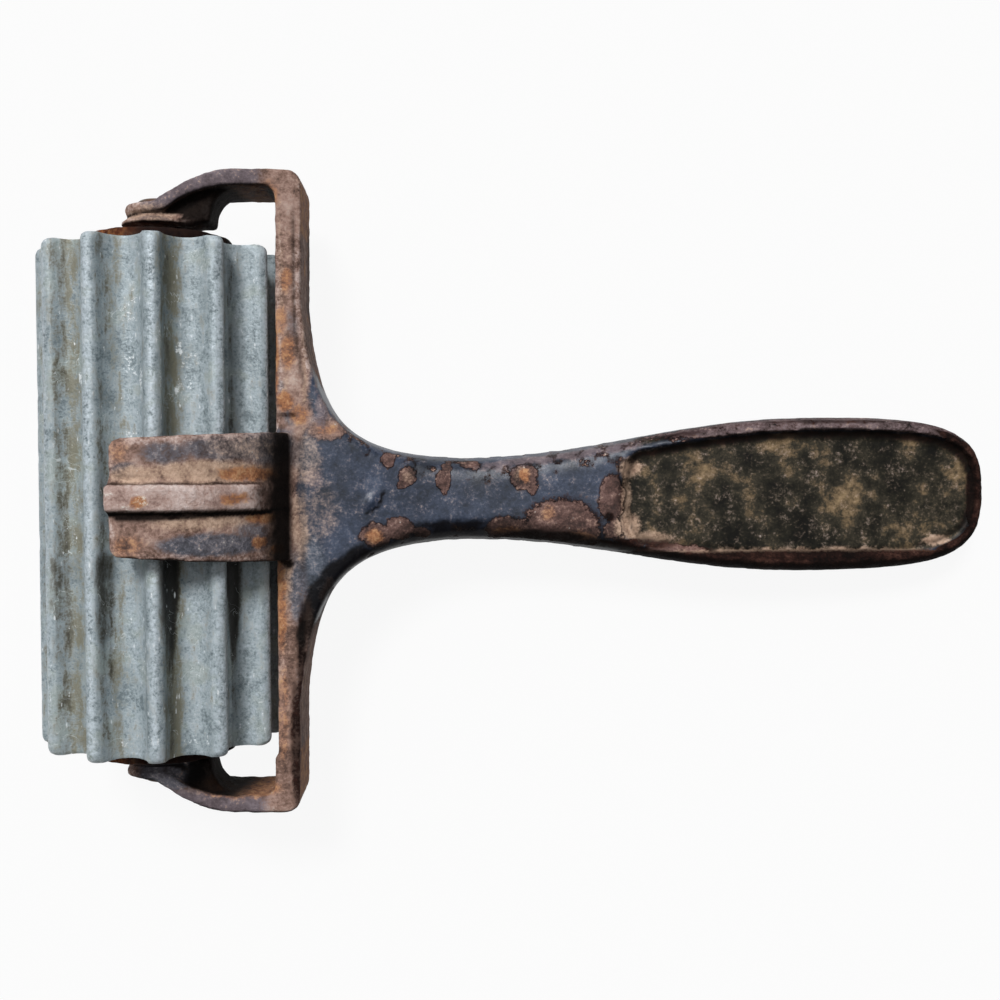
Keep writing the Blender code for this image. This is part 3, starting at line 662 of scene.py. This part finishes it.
def casting_loss(skin, zone, rust):
    """How far in mm wear and rust have eaten into each vertex, less the blister, which stands up."""
    loss = SKIN_LOSS + SCALE_LOSS * np.clip(skin.lumps + 0.3, 0, 2) * (0.4 + 0.6 * rust)
    loss += PIT_LOSS * np.clip(skin.pits, 0, 2) * (0.15 + 0.85 * rust) * (1 - 0.7 * zone.arm_top)
    loss += EDGE_LOSS * np.clip(skin.edge, 0, 1.5) * np.clip(skin.lumps + 0.35, 0, 1)
    loss += WAVE_LOSS * np.clip(skin.broad, 0, 1) * zone.yoke
    return loss - BLISTER_RISE * blister(skin)


def make_casting(surface):
    """Handle, yoke and hood: pitted, chipped, and marked with what is painted and what is rusty."""
    mesh = remeshed_copy("frame_casting", CASTING_VOXEL, rounds=5)
    skin = survey(mesh)
    zone = casting_zones(skin)
    shares = casting_shares(skin, zone)
    loss = casting_loss(skin, zone, shares["rust"])
    write_points(mesh, skin.places - skin.normals * (loss * MM)[:, None], "frame_casting")
    for name, values in shares.items():
        write_share(mesh, name, values)
    casting = new_piece("iron_casting", mesh, surface)
    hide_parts("frame_casting")
    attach(casting, "frame")


def cut_roller():
    """Mesh of the CAD roller, cut across so that it can be dented, and smooth but for its sharp edges."""
    shape = merged_copy("fluted_roller")
    low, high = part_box("fluted_roller")
    cuts = [low.y + inset for inset in END_CUTS]
    cuts += [high.y - inset for inset in END_CUTS]
    cut = low.y + FIRST_CUT
    while cut < high.y - LAST_CUT:
        cuts.append(cut)
        cut += ROLLER_STEP
    for cut in cuts:
        everything = shape.verts[:] + shape.edges[:] + shape.faces[:]
        bmesh.ops.bisect_plane(shape, geom=everything, plane_co=(0, cut, 0), plane_no=(0, 1, 0), dist=WELD)
    bmesh.ops.dissolve_degenerate(shape, dist=SLIVER, edges=shape.edges[:])
    for face in shape.faces:
        face.smooth = True
    for joint in shape.edges:
        joint.smooth = not joint.is_manifold or joint.calc_face_angle(0) < SHARP_ANGLE
    mesh = bpy.data.meshes.new("zinc_roller")
    shape.to_mesh(mesh)
    shape.free()
    return mesh


def make_roller(surface):
    """Fluted zinc shell with blunt, nicked crests, marked with where dirt and oxide lie."""
    mesh = cut_roller()
    places, normals = read_points(mesh)
    low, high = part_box("fluted_roller")
    east = places[:, 0] - AXIS.x
    up = places[:, 2] - AXIS.z
    along = (places[:, 1] - AXIS.y) / MM
    radius = np.hypot(east, up)
    turn = np.arctan2(east, up)
    steps = turn / PITCH - 0.5
    flute = np.floor(steps).astype(int) % FLUTES
    share = steps - np.floor(steps)
    off_crest = np.minimum(share, 1 - share)
    outside = fade(radius, VALLEY_RADIUS - 0.7 * MM, VALLEY_RADIUS - 0.2 * MM)
    crest = fade(radius, VALLEY_RADIUS + 2.5 * MM, ROLLER_RADIUS)
    inset = np.minimum(places[:, 1] - low.y, high.y - places[:, 1])
    inset[np.abs(normals[:, 1]) > 0.9] = 0

    stretched = places * np.array((1, 0.35, 1))
    dents = WAVE_DEPTH * np.clip(grain(stretched, 3.2 * MM, shift=5), 0, 2)
    dents += DENT_DEPTH * np.clip(grain(places, 2.2 * MM, shift=17) - 0.25, 0, 2) * crest
    nicks = random.Random(4)
    for _ in range(NICKS):
        angle = (nicks.randrange(FLUTES) + 0.5) * PITCH + nicks.uniform(-0.07, 0.07)
        spot = np.array((
            AXIS.x + math.sin(angle) * ROLLER_RADIUS,
            AXIS.y + nicks.uniform(-48, 48) * MM,
            AXIS.z + math.cos(angle) * ROLLER_RADIUS,
        ))
        distance = np.linalg.norm(places - spot, axis=1)
        depth = nicks.uniform(*NICK_DEPTH)
        dents += depth * fade(distance, nicks.uniform(*NICK_REACH) * MM, 0)
    moved = places - normals * (dents * outside * MM)[:, None]
    to_end = 1 - np.clip(inset / BLUNT_LENGTH, 0, 1)
    blunt = BLUNT_DEPTH * crest * (1 - np.sqrt(1 - to_end ** 2))
    moved[:, 0] -= east / np.maximum(radius, MM) * blunt
    moved[:, 2] -= up / np.maximum(radius, MM) * blunt
    write_points(mesh, moved, "fluted_roller")

    # Dirt and painted shade along the right-hand foot of each crest, thickened and widened by the painted shadow
    # of the hood just below it
    hood_shadow = fade(-along, 9, 12) * fade(-along, 38, 14)
    thick, hood_shadow_gain, place, width, silty = np.array(FLUTE_DIRT_AND_SHADE)[flute].T
    foot = np.exp(-((share - place) / (width * (1 + 0.7 * hood_shadow))) ** 2)
    silt = np.exp(-((share - SILT_PLACE) / SILT_WIDTH) ** 2) * silty
    oxide = np.zeros(len(places))
    for degrees, middle, half_across, half_along, level in OXIDE_PATCHES:
        across = (turn - math.radians(degrees)) * radius / (half_across * MM)
        distance = np.hypot(across, (along - middle) / half_along)
        oxide = np.maximum(oxide, level * fade(distance, 1.2, 0.2))
    write_share(mesh, "grime_and_shade", foot * (thick + hood_shadow_gain * hood_shadow) * outside)
    write_share(mesh, "silt", silt * outside)
    write_share(mesh, "oxide", oxide * outside)
    write_share(mesh, "crest", np.exp(-(off_crest / CREST_WIDTH) ** 2) * outside)
    write_share(mesh, "inside", 1 - outside)
    roller = new_piece("zinc_roller", mesh, surface)
    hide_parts("fluted_roller")
    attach(roller, "roller")


def make_head(node, shift, surface):
    """Iron disc in an end of the roller, its skin lumpy with rust."""
    mesh = remeshed_copy(node, HEAD_VOXEL, rounds=3)
    places, normals = read_points(mesh)
    loss = HEAD_LOSS + HEAD_LUMP_DEPTH * np.clip(grain(places, HEAD_LUMP, shift) + 0.4, 0, 2)
    loss += HEAD_PIT_DEPTH * np.clip(grain(places, HEAD_PIT, shift + 5, octaves=2), 0, 2)
    write_points(mesh, places - normals * (loss * MM)[:, None], node)
    # Painted shade over the head's half towards the handle, where the arm shades it
    write_share(mesh, "head_shade", fade(places[:, 0] - AXIS.x, *HEAD_SHADE_X))
    head = new_piece("rusty_" + node, mesh, surface)
    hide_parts(node)
    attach(head, "roller")


def japanned_iron():
    """Japanned cast iron: a thin black baked paint over a sand-cast skin that has rusted where it wore off.

    The paint shows as a blue-black gloss with soft waves. The rust is matt, lies a little lower than
    the paint and runs from dark red-brown to orange and dusty tan. Worn places are a pinkish grey.
    """
    surface, tree, shader = new_surface("japanned_iron")
    place = add(tree, "ShaderNodeTexCoord").outputs["Object"]
    shares = {
        name: add(tree, "ShaderNodeAttribute", attribute_name=name).outputs["Fac"]
        for name in (
            "rust", "film", "pale", "orange", "dark", "smooth",
            "rubbed", "floor", "shade", "crisp", "flecks",
        )
    }

    # Broad clouds, blotches and specks: width of a lump in mm, detail and roughness
    noises = []
    for lump, detail, rough in ((4, 5, 0.6), (1.2, 6, 0.68), (0.28, 3, 0.65)):
        sockets = {"Vector": place, "Scale": NOISE_UNIT / (lump * MM), "Detail": detail, "Roughness": rough}
        noises.append(add(tree, "ShaderNodeTexNoise", sockets).outputs["Fac"])
    broad, blotch, speck = noises
    grainy = add(
        tree, "ShaderNodeMix", {FACTOR: 0.36, NUMBER_A: blotch, NUMBER_B: speck}, data_type="FLOAT"
    ).outputs[NUMBER_OUT]
    patchy = add(
        tree, "ShaderNodeMix", {FACTOR: 0.62, NUMBER_A: broad, NUMBER_B: grainy}, data_type="FLOAT"
    ).outputs[NUMBER_OUT]
    cloudy = add(
        tree, "ShaderNodeMix", {FACTOR: 0.62, NUMBER_A: grainy, NUMBER_B: broad}, data_type="FLOAT"
    ).outputs[NUMBER_OUT]

    # Each mask follows its share on the mesh, with an edge as ragged and as soft as that layer has: how much
    # the blotches and the specks move it, and half the width over which it shows. The rust's edge is crisp
    # where it breaks through the paint, and soft elsewhere.
    masks = {}
    soft_rust = 0.40
    edges = (
        ("rust", 1.1, 0.6, 0.05),
        ("film", 1.2, 0.9, 0.45),
        ("pale", 1.2, 1.0, 0.50),
        ("orange", 1.6, 1.0, 0.40),
        ("dark", 1.2, 0.8, 0.30),
        ("smooth", 1.0, 0.8, 0.32),
        ("rubbed", 1.2, 1.0, 0.30),
    )
    for name, ragged, fine, soft in edges:
        level = shares[name]
        for pattern, times in ((blotch, ragged), (speck, fine)):
            sockets = {0: pattern, 1: times, 2: level}
            level = add(tree, "ShaderNodeMath", sockets, operation="MULTIPLY_ADD").outputs[0]
        middle = 0.5 + (ragged + fine) / 2
        low, high = middle - soft, middle + soft
        if name == "rust":
            flake, lip = level, middle
            ends = []
            for softer, crisp in ((middle - soft_rust, low), (middle + soft_rust, high)):
                sockets = {"Value": shares["crisp"], "To Min": softer, "To Max": crisp}
                ends.append(add(tree, "ShaderNodeMapRange", sockets).outputs[0])
            low, high = ends
        sockets = {"Value": level, "From Min": low, "From Max": high}
        mask = add(tree, "ShaderNodeMapRange", sockets, interpolation_type="SMOOTHSTEP")
        masks[name] = mask.outputs[0]

    # Colours of each layer from dark to pale, and the noise that they follow
    ramps = (
        ("paint", patchy, (0.40, 0.48, 0.55, 0.64), "#1a202c #283142 #364054 #505b70"),
        ("mottle", cloudy, (0.40, 0.47, 0.53, 0.58, 0.64), "#0d0c09 #201e17 #39342a #6a5943 #917b5d"),
        ("brown", patchy, (0.40, 0.46, 0.51, 0.57, 0.64), "#503a31 #755a4e #917468 #a98d81 #c2aca1"),
        ("scaly", patchy, (0.40, 0.46, 0.51, 0.57, 0.64), "#2a1b18 #442f2a #5e443e #765a54 #937b73"),
        ("orange", grainy, (0.38, 0.50, 0.60), "#6d4029 #a06b47 #bd8f68"),
        ("film", grainy, (0.38, 0.50, 0.62), "#2c333c #474f5c #727986"),
        ("handled", patchy, (0.40, 0.48, 0.55, 0.64), "#453a3d #605459 #70656b #867c82"),
        ("tan", grainy, (0.38, 0.50, 0.60), "#937766 #b49781 #caad98"),
        ("greyed", patchy, (0.40, 0.47, 0.54, 0.62), "#856a61 #aa9087 #c1aca5 #dccdc9"),
        ("dirt_and_shade", patchy, (0.42, 0.50, 0.57, 0.64), "#0e0807 #211310 #3b2620 #5c443b"),
    )
    colours = {}
    for name, follows, levels, codes in ramps:
        stops = tuple(zip(levels, codes.split()))
        ramp = add(tree, "ShaderNodeValToRGB", {"Fac": follows}, stops=stops)
        colours[name] = ramp.outputs["Color"]
    aged = add(
        tree,
        "ShaderNodeMix",
        {FACTOR: shares["crisp"], COLOUR_A: colours["brown"], COLOUR_B: colours["scaly"]},
        data_type="RGBA",
    ).outputs[COLOUR_OUT]
    thin = add(tree, "ShaderNodeMath", {0: masks["film"], 1: 0.85}, operation="MULTIPLY").outputs[0]
    dry = add(tree, "ShaderNodeMath", {0: masks["pale"], 1: 0.92}, operation="MULTIPLY").outputs[0]
    sockets = {0: masks["orange"], 1: masks["rust"]}
    bright = add(tree, "ShaderNodeMath", sockets, operation="MULTIPLY").outputs[0]

    # A dark line is drawn round each crisp flake, where its mask has just begun
    line = shares["crisp"]
    for begin, end, before, after in ((-0.24, -0.05, 0.0, 1.0), (0.02, 0.14, 0.75, 0.0)):
        sockets = {"Value": flake, "From Min": lip + begin, "From Max": lip + end}
        sockets.update({"To Min": before, "To Max": after})
        step = add(tree, "ShaderNodeMapRange", sockets, interpolation_type="SMOOTHSTEP").outputs[0]
        line = add(tree, "ShaderNodeMath", {0: line, 1: step}, operation="MULTIPLY").outputs[0]
    # Dirt and painted shade: the flakes' dark lines and the dark share
    grime_and_shade = add(tree, "ShaderNodeMath", {0: line, 1: masks["dark"]}, operation="MAXIMUM").outputs[0]

    # Grains of dust and bared metal, a fifth of a millimetre across
    cells = add(tree, "ShaderNodeTexVoronoi", {"Vector": place, "Scale": 1 / (1.5 * MM)})
    grains = add(
        tree, "ShaderNodeMapRange", {"Value": cells.outputs["Distance"], "From Min": 0.16, "From Max": 0.08}
    ).outputs[0]
    here = add(
        tree, "ShaderNodeMapRange", {"Value": blotch, "From Min": 0.54, "From Max": 0.64, "To Max": 0.8}
    ).outputs[0]
    held = add(tree, "ShaderNodeMapRange", {"Value": masks["rust"], "To Min": 0.1, "To Max": 1.0}).outputs[0]
    seen = add(tree, "ShaderNodeMath", {0: here, 1: held}, operation="MULTIPLY").outputs[0]
    dotted = add(tree, "ShaderNodeMath", {0: grains, 1: seen}, operation="MULTIPLY").outputs[0]
    sockets = {0: shares["flecks"], 1: 0.105, 2: grainy}
    many = add(tree, "ShaderNodeMath", sockets, operation="MULTIPLY_ADD").outputs[0]
    frost = add(
        tree, "ShaderNodeMapRange", {"Value": many, "From Min": 0.66, "From Max": 0.71, "To Max": 0.85}
    ).outputs[0]
    white = add(tree, "ShaderNodeMath", {0: dotted, 1: frost}, operation="MAXIMUM").outputs[0]

    # The layers from the paint upwards: how much of each shows, and its colour
    skin = colours["paint"]
    layers = (
        (shares["floor"], colours["mottle"]),
        (masks["rust"], aged),
        (thin, colours["film"]),
        (masks["smooth"], colours["handled"]),
        (dry, colours["tan"]),
        (masks["rubbed"], colours["greyed"]),
        (bright, colours["orange"]),
        (white, "#d9d2c9"),
        # dark dirt mixed with painted shade, then painted shade in near black
        (grime_and_shade, colours["dirt_and_shade"]),
        (shares["shade"], "#0a0706"),
    )
    for share, colour in layers:
        sockets = {FACTOR: share, COLOUR_A: skin, COLOUR_B: colour}
        skin = add(tree, "ShaderNodeMix", sockets, data_type="RGBA").outputs[COLOUR_OUT]
    tree.links.new(skin, shader.inputs["Base Color"])

    # Painted shade, dirt and the panel floor lose their shine, so that the painted shade stays dark
    shaded_or_dirty = add(tree, "ShaderNodeMath", {0: shares["shade"], 1: grime_and_shade}, operation="MAXIMUM").outputs[0]
    matt = add(tree, "ShaderNodeMath", {0: shares["floor"], 1: 0.8, 2: shaded_or_dirty}, operation="MULTIPLY_ADD")
    shine = add(tree, "ShaderNodeMapRange", {"Value": matt.outputs[0], "To Min": 0.5, "To Max": 0.08})
    tree.links.new(shine.outputs[0], shader.inputs["Specular IOR Level"])
    gloss = add(tree, "ShaderNodeMapRange", {"Value": masks["rust"], "To Min": 0.32, "To Max": 0.70})
    dulled = add(tree, "ShaderNodeMath", {0: speck, 1: 0.22, 2: gloss.outputs[0]}, operation="MULTIPLY_ADD")
    tree.links.new(dulled.outputs[0], shader.inputs["Roughness"])

    # Heights are in mm: the rust lies 0.1 mm under the paint and is rough, the paint is nearly even
    height = add(tree, "ShaderNodeMath", {0: masks["rust"], 1: -0.10}, operation="MULTIPLY").outputs[0]
    for bumps, on_paint, on_rust in ((blotch, 0.06, 0.50), (speck, 0.04, 0.14)):
        sockets = {"Value": masks["rust"], "To Min": on_paint, "To Max": on_rust}
        depth = add(tree, "ShaderNodeMapRange", sockets).outputs[0]
        sockets = {0: bumps, 1: depth, 2: height}
        height = add(tree, "ShaderNodeMath", sockets, operation="MULTIPLY_ADD").outputs[0]
    relief = add(tree, "ShaderNodeBump", {"Height": height, "Distance": MM, "Strength": 0.9})
    tree.links.new(relief.outputs["Normal"], shader.inputs["Normal"])
    return surface


def oxidised_zinc():
    """Cast zinc with a blue-grey oxide skin: dull and cloudy, with starch, grime and painted shade in the flutes.

    The skin is streaked along the roller, brighter on the rubbed crests, and has many white specks.
    """
    surface, tree, shader = new_surface("oxidised_zinc")
    place = add(tree, "ShaderNodeTexCoord").outputs["Object"]
    streaked = add(tree, "ShaderNodeMapping", {"Vector": place, "Scale": (1, 0.3, 1)}).outputs["Vector"]
    shares = {
        name: add(tree, "ShaderNodeAttribute", attribute_name=name).outputs["Fac"]
        for name in ("grime_and_shade", "silt", "oxide", "crest", "inside")
    }

    # Clouds, blotches, specks and streaks: width of a lump in mm, detail and roughness
    noises = []
    for where, lump, detail, rough in (
        (place, 3.5, 4, 0.55),
        (place, 0.7, 5, 0.7),
        (place, 0.24, 3, 0.65),
        (streaked, 0.9, 5, 0.62),
    ):
        sockets = {"Vector": where, "Scale": NOISE_UNIT / (lump * MM), "Detail": detail, "Roughness": rough}
        noises.append(add(tree, "ShaderNodeTexNoise", sockets).outputs["Fac"])
    cloud, blotch, speck, streak = noises
    coarse = add(
        tree, "ShaderNodeMix", {FACTOR: 0.5, NUMBER_A: cloud, NUMBER_B: streak}, data_type="FLOAT"
    ).outputs[NUMBER_OUT]
    fine = add(
        tree, "ShaderNodeMix", {FACTOR: 0.5, NUMBER_A: blotch, NUMBER_B: speck}, data_type="FLOAT"
    ).outputs[NUMBER_OUT]
    both = add(
        tree, "ShaderNodeMix", {FACTOR: 0.5, NUMBER_A: coarse, NUMBER_B: fine}, data_type="FLOAT"
    ).outputs[NUMBER_OUT]
    skin = add(
        tree,
        "ShaderNodeValToRGB",
        {"Fac": both},
        stops=((0.41, "#6d797e"), (0.47, "#939fa4"), (0.53, "#abb7be"), (0.60, "#d0dbe4")),
    ).outputs["Color"]
    sockets = {"Value": cloud, "From Min": 0.5, "From Max": 0.64, "To Max": 0.5}
    greenish = add(tree, "ShaderNodeMapRange", sockets, interpolation_type="SMOOTHSTEP").outputs[0]

    # Olive silt lies in the flutes, darker grime mixed with painted shade, with a black core of painted shade
    # along the right-hand foot of each crest, strongest just below the hood where its painted shadow falls, and
    # white oxide in loose patches. Each is a share on the mesh, roughened by two noises, that shows between two
    # levels.
    masks = {}
    for name, share, roughened, low, high, most, easing in (
        ("silt", "silt", ((streak, 3.0), (fine, 2.6)), 2.88, 3.80, 0.85, "SMOOTHSTEP"),
        ("grime_and_shade", "grime_and_shade", ((streak, 1.6), (fine, 1.4)), 1.95, 2.65, 0.90, "SMOOTHSTEP"),
        ("core", "grime_and_shade", ((streak, 1.6), (fine, 1.4)), 2.45, 3.05, 0.90, "SMOOTHSTEP"),
        ("crust", "oxide", ((blotch, 2.4), (speck, 2.2)), 2.95, 3.25, 0.90, "LINEAR"),
    ):
        level = shares[share]
        for pattern, times in roughened:
            sockets = {0: pattern, 1: times, 2: level}
            level = add(tree, "ShaderNodeMath", sockets, operation="MULTIPLY_ADD").outputs[0]
        sockets = {"Value": level, "From Min": low, "From Max": high, "To Max": most}
        masks[name] = add(tree, "ShaderNodeMapRange", sockets, interpolation_type=easing).outputs[0]

    # The crests are rubbed bright, unevenly
    rubbing = add(tree, "ShaderNodeMapRange", {"Value": fine, "From Min": 0.42, "From Max": 0.60}).outputs[0]
    rubbed = add(tree, "ShaderNodeMath", {0: shares["crest"], 1: rubbing}, operation="MULTIPLY").outputs[0]

    # White oxide also stands in fine specks that the casting drew out along the roller
    cells = add(tree, "ShaderNodeTexVoronoi", {"Vector": streaked, "Scale": 1 / (1.1 * MM)})
    grains = add(
        tree, "ShaderNodeMapRange", {"Value": cells.outputs["Distance"], "From Min": 0.20, "From Max": 0.11}
    ).outputs[0]
    sockets = {0: shares["crest"], 1: 0.05, 2: blotch}
    many = add(tree, "ShaderNodeMath", sockets, operation="MULTIPLY_ADD").outputs[0]
    here = add(
        tree, "ShaderNodeMapRange", {"Value": many, "From Min": 0.50, "From Max": 0.60, "To Max": 0.85}
    ).outputs[0]
    dotted = add(tree, "ShaderNodeMath", {0: grains, 1: here}, operation="MULTIPLY").outputs[0]
    whitened = add(tree, "ShaderNodeMath", {0: dotted, 1: masks["crust"]}, operation="MAXIMUM").outputs[0]

    # Hair-fine scratches are where a slow noise crosses its middle value
    sockets = {"Vector": place, "Scale": NOISE_UNIT / (2.4 * MM), "Detail": 2, "Roughness": 0.5}
    winding = add(tree, "ShaderNodeTexNoise", {**sockets, "Distortion": 1.2}).outputs["Fac"]
    off_middle = add(tree, "ShaderNodeMath", {0: winding, 1: 0.5}, operation="SUBTRACT").outputs[0]
    distance = add(tree, "ShaderNodeMath", {0: off_middle}, operation="ABSOLUTE").outputs[0]
    hair = add(
        tree, "ShaderNodeMapRange", {"Value": distance, "From Min": 0.006, "From Max": 0.002, "To Max": 0.7}
    ).outputs[0]
    short = add(tree, "ShaderNodeMapRange", {"Value": cloud, "From Min": 0.52, "From Max": 0.58}).outputs[0]
    scratches = add(tree, "ShaderNodeMath", {0: hair, 1: short}, operation="MULTIPLY").outputs[0]

    # The layers from the bare skin upwards: how much of each shows, and its colour
    layers = (
        (greenish, "#8b9489"),
        (masks["silt"], "#6f6950"),
        # grime with painted shade, and its black core of painted shade
        (masks["grime_and_shade"], "#3a382f"),
        (masks["core"], "#14130f"),
        (rubbed, "#c3ced6"),
        (whitened, "#e3e8ea"),
        (scratches, "#ccd3d4"),
        (shares["inside"], "#6d7272"),
    )
    for share, colour in layers:
        sockets = {FACTOR: share, COLOUR_A: skin, COLOUR_B: colour}
        skin = add(tree, "ShaderNodeMix", sockets, data_type="RGBA").outputs[COLOUR_OUT]
    tree.links.new(skin, shader.inputs["Base Color"])
    shader.inputs["Metallic"].default_value = 0.15
    sockets = {"Value": streak, "From Min": 0.3, "From Max": 0.7, "To Min": 0.42, "To Max": 0.6}
    dull = add(tree, "ShaderNodeMapRange", sockets)
    tree.links.new(dull.outputs[0], shader.inputs["Roughness"])

    # Heights of the scars, the grit and the fine streaks are in mm
    height = 0.0
    for bumps, depth in ((blotch, 0.20), (speck, 0.09), (streak, 0.12)):
        sockets = {0: bumps, 1: depth, 2: height}
        height = add(tree, "ShaderNodeMath", sockets, operation="MULTIPLY_ADD").outputs[0]
    relief = add(tree, "ShaderNodeBump", {"Height": height, "Distance": MM, "Strength": 0.8})
    tree.links.new(relief.outputs["Normal"], shader.inputs["Normal"])
    return surface


def rusted_iron():
    """Bare iron rusted all over: matt orange and dark red scale, worn grey here and there, and painted shade on
    one half.
    """
    surface, tree, shader = new_surface("rusted_iron")
    place = add(tree, "ShaderNodeTexCoord").outputs["Object"]

    # Blotches and specks: width of a lump in mm, detail and roughness
    noises = []
    for lump, detail, rough in ((2.2, 5, 0.62), (0.5, 4, 0.6)):
        sockets = {"Vector": place, "Scale": NOISE_UNIT / (lump * MM), "Detail": detail, "Roughness": rough}
        noises.append(add(tree, "ShaderNodeTexNoise", sockets).outputs["Fac"])
    blotch, speck = noises
    scale = add(
        tree,
        "ShaderNodeValToRGB",
        {"Fac": blotch},
        stops=((0.34, "#22100b"), (0.45, "#452114"), (0.55, "#6e3d24"), (0.68, "#6c594d")),
    ).outputs["Color"]
    fine_scale = add(
        tree,
        "ShaderNodeValToRGB",
        {"Fac": speck},
        stops=((0.36, "#1f0e09"), (0.5, "#663721"), (0.66, "#a87549")),
    ).outputs["Color"]
    # Painted shade, near black, over the head's half towards the handle
    head_shade = add(tree, "ShaderNodeAttribute", attribute_name="head_shade").outputs["Fac"]
    level = add(tree, "ShaderNodeMath", {0: head_shade, 1: 0.95}, operation="MULTIPLY").outputs[0]
    skin = scale
    for share, colour in ((0.4, fine_scale), (level, "#130807")):
        sockets = {FACTOR: share, COLOUR_A: skin, COLOUR_B: colour}
        skin = add(tree, "ShaderNodeMix", sockets, data_type="RGBA").outputs[COLOUR_OUT]
    tree.links.new(skin, shader.inputs["Base Color"])
    shader.inputs["Roughness"].default_value = 0.85
    shader.inputs["Specular IOR Level"].default_value = 0.15
    lumpy = add(tree, "ShaderNodeMath", {0: blotch, 1: 0.5}, operation="MULTIPLY")
    sandy = add(tree, "ShaderNodeMath", {0: speck, 1: 0.2, 2: lumpy.outputs[0]}, operation="MULTIPLY_ADD")
    relief = add(tree, "ShaderNodeBump", {"Height": sandy.outputs[0], "Distance": MM, "Strength": 1})
    tree.links.new(relief.outputs["Normal"], shader.inputs["Normal"])
    return surface


def peened_steel():
    """Mild steel rod, hammered over cold at its ends: dull grey metal with brown rust in the marks."""
    surface, tree, shader = new_surface("peened_steel")
    place = add(tree, "ShaderNodeTexCoord").outputs["Object"]
    sockets = {"Vector": place, "Scale": NOISE_UNIT / (1.2 * MM), "Detail": 4, "Roughness": 0.6}
    blotch = add(tree, "ShaderNodeTexNoise", sockets).outputs["Fac"]
    cells = add(tree, "ShaderNodeTexVoronoi", {"Vector": place, "Scale": 1 / (2.2 * MM)})
    sockets = {"Value": blotch, "From Min": 0.36, "From Max": 0.60}
    rusting = add(tree, "ShaderNodeMapRange", sockets, interpolation_type="SMOOTHSTEP").outputs[0]
    sockets = {FACTOR: rusting, COLOUR_A: "#6d645e", COLOUR_B: "#5a3e30"}
    skin = add(tree, "ShaderNodeMix", sockets, data_type="RGBA").outputs[COLOUR_OUT]
    tree.links.new(skin, shader.inputs["Base Color"])
    metal = add(tree, "ShaderNodeMapRange", {"Value": rusting, "To Min": 0.6, "To Max": 0.1})
    tree.links.new(metal.outputs[0], shader.inputs["Metallic"])
    gloss = add(tree, "ShaderNodeMapRange", {"Value": rusting, "To Min": 0.42, "To Max": 0.85})
    tree.links.new(gloss.outputs[0], shader.inputs["Roughness"])
    marks = add(tree, "ShaderNodeMath", {0: cells.outputs["Distance"], 1: 0.35}, operation="MULTIPLY")
    relief = add(tree, "ShaderNodeBump", {"Height": marks.outputs[0], "Distance": MM, "Strength": 1})
    tree.links.new(relief.outputs["Normal"], shader.inputs["Normal"])
    return surface


def white_table():
    """White photographer's table: pure white to the eye, a soft grey to the light that bounces off it."""
    surface, tree, shader = new_surface("white_table")
    shader.inputs["Base Color"].default_value = linear("#8c8c8c")
    shader.inputs["Roughness"].default_value = 0.9
    ray = add(tree, "ShaderNodeLightPath")
    seen = ray.outputs["Is Camera Ray"]
    for kind in ("Is Glossy Ray", "Is Transmission Ray"):
        seen = add(tree, "ShaderNodeMath", {0: seen, 1: ray.outputs[kind]}, operation="MAXIMUM").outputs[0]
    share = add(tree, "ShaderNodeMath", {0: seen, 1: TABLE_SHARE}, operation="MULTIPLY")
    glow = add(tree, "ShaderNodeEmission", {"Color": "#ffffff", "Strength": TABLE_GLOW})
    sockets = {0: share.outputs[0], 1: shader.outputs["BSDF"], 2: glow.outputs["Emission"]}
    both = add(tree, "ShaderNodeMixShader", sockets)
    tree.links.new(both.outputs["Shader"], tree.nodes["Material Output"].inputs["Surface"])
    return surface


def make_table():
    """Wide flat floor under the tool."""
    shape = bmesh.new()
    bmesh.ops.create_grid(shape, x_segments=1, y_segments=1, size=TABLE_HALF)
    mesh = bpy.data.meshes.new("table")
    shape.to_mesh(mesh)
    shape.free()
    table = new_piece("table", mesh, white_table())


def make_light():
    """Soft daylight: a key from the picture's top, a wide sky light round it and a weak even fill."""
    for name, strength, width, direction in LAMPS:
        glow = bpy.data.lights.new(name, "SUN")
        glow.energy = strength
        glow.angle = math.radians(width)
        lamp = bpy.data.objects.new(name, glow)
        lamp.rotation_euler = Vector(direction).to_track_quat("Z", "Y").to_euler()
        bpy.context.scene.collection.objects.link(lamp)
    world = bpy.data.worlds.new("room")
    world.use_nodes = True
    tree = world.node_tree
    back = tree.nodes["Background"]
    ray = add(tree, "ShaderNodeLightPath")
    sockets = {"Value": ray.outputs["Is Camera Ray"], "To Min": FILL, "To Max": 1.0}
    strength = add(tree, "ShaderNodeMapRange", sockets)
    tree.links.new(strength.outputs[0], back.inputs["Strength"])
    back.inputs["Color"].default_value = linear("#ffffff")
    bpy.context.scene.world = world


def make_camera():
    """Camera over the table, where the photograph was taken from."""
    lens = bpy.data.cameras.new("camera")
    lens.lens = CAMERA_LENS
    lens.clip_start = 0.01
    camera = bpy.data.objects.new("camera", lens)
    bpy.context.scene.collection.objects.link(camera)
    turn = Matrix.Identity(3)
    for axis, angle in zip("XYZ", CAMERA_TURN):
        turn = Matrix.Rotation(angle, 3, axis) @ turn
    camera.matrix_world = Matrix.Translation(AXIS + CAMERA_PLACE) @ turn.to_4x4()
    bpy.context.scene.camera = camera


def main():
    """Dress the fluting iron and set it on its table."""
    bpy.context.scene.view_settings.view_transform = "Standard"
    make_camera()
    make_light()
    make_table()
    make_casting(japanned_iron())
    make_roller(oxidised_zinc())
    rust = rusted_iron()
    make_head("roller_head_left", 31, rust)
    make_head("roller_head_right", 47, rust)
    axle = frame["nodes"]["axle_pin"]
    axle.data.materials.clear()
    axle.data.materials.append(peened_steel())


main()
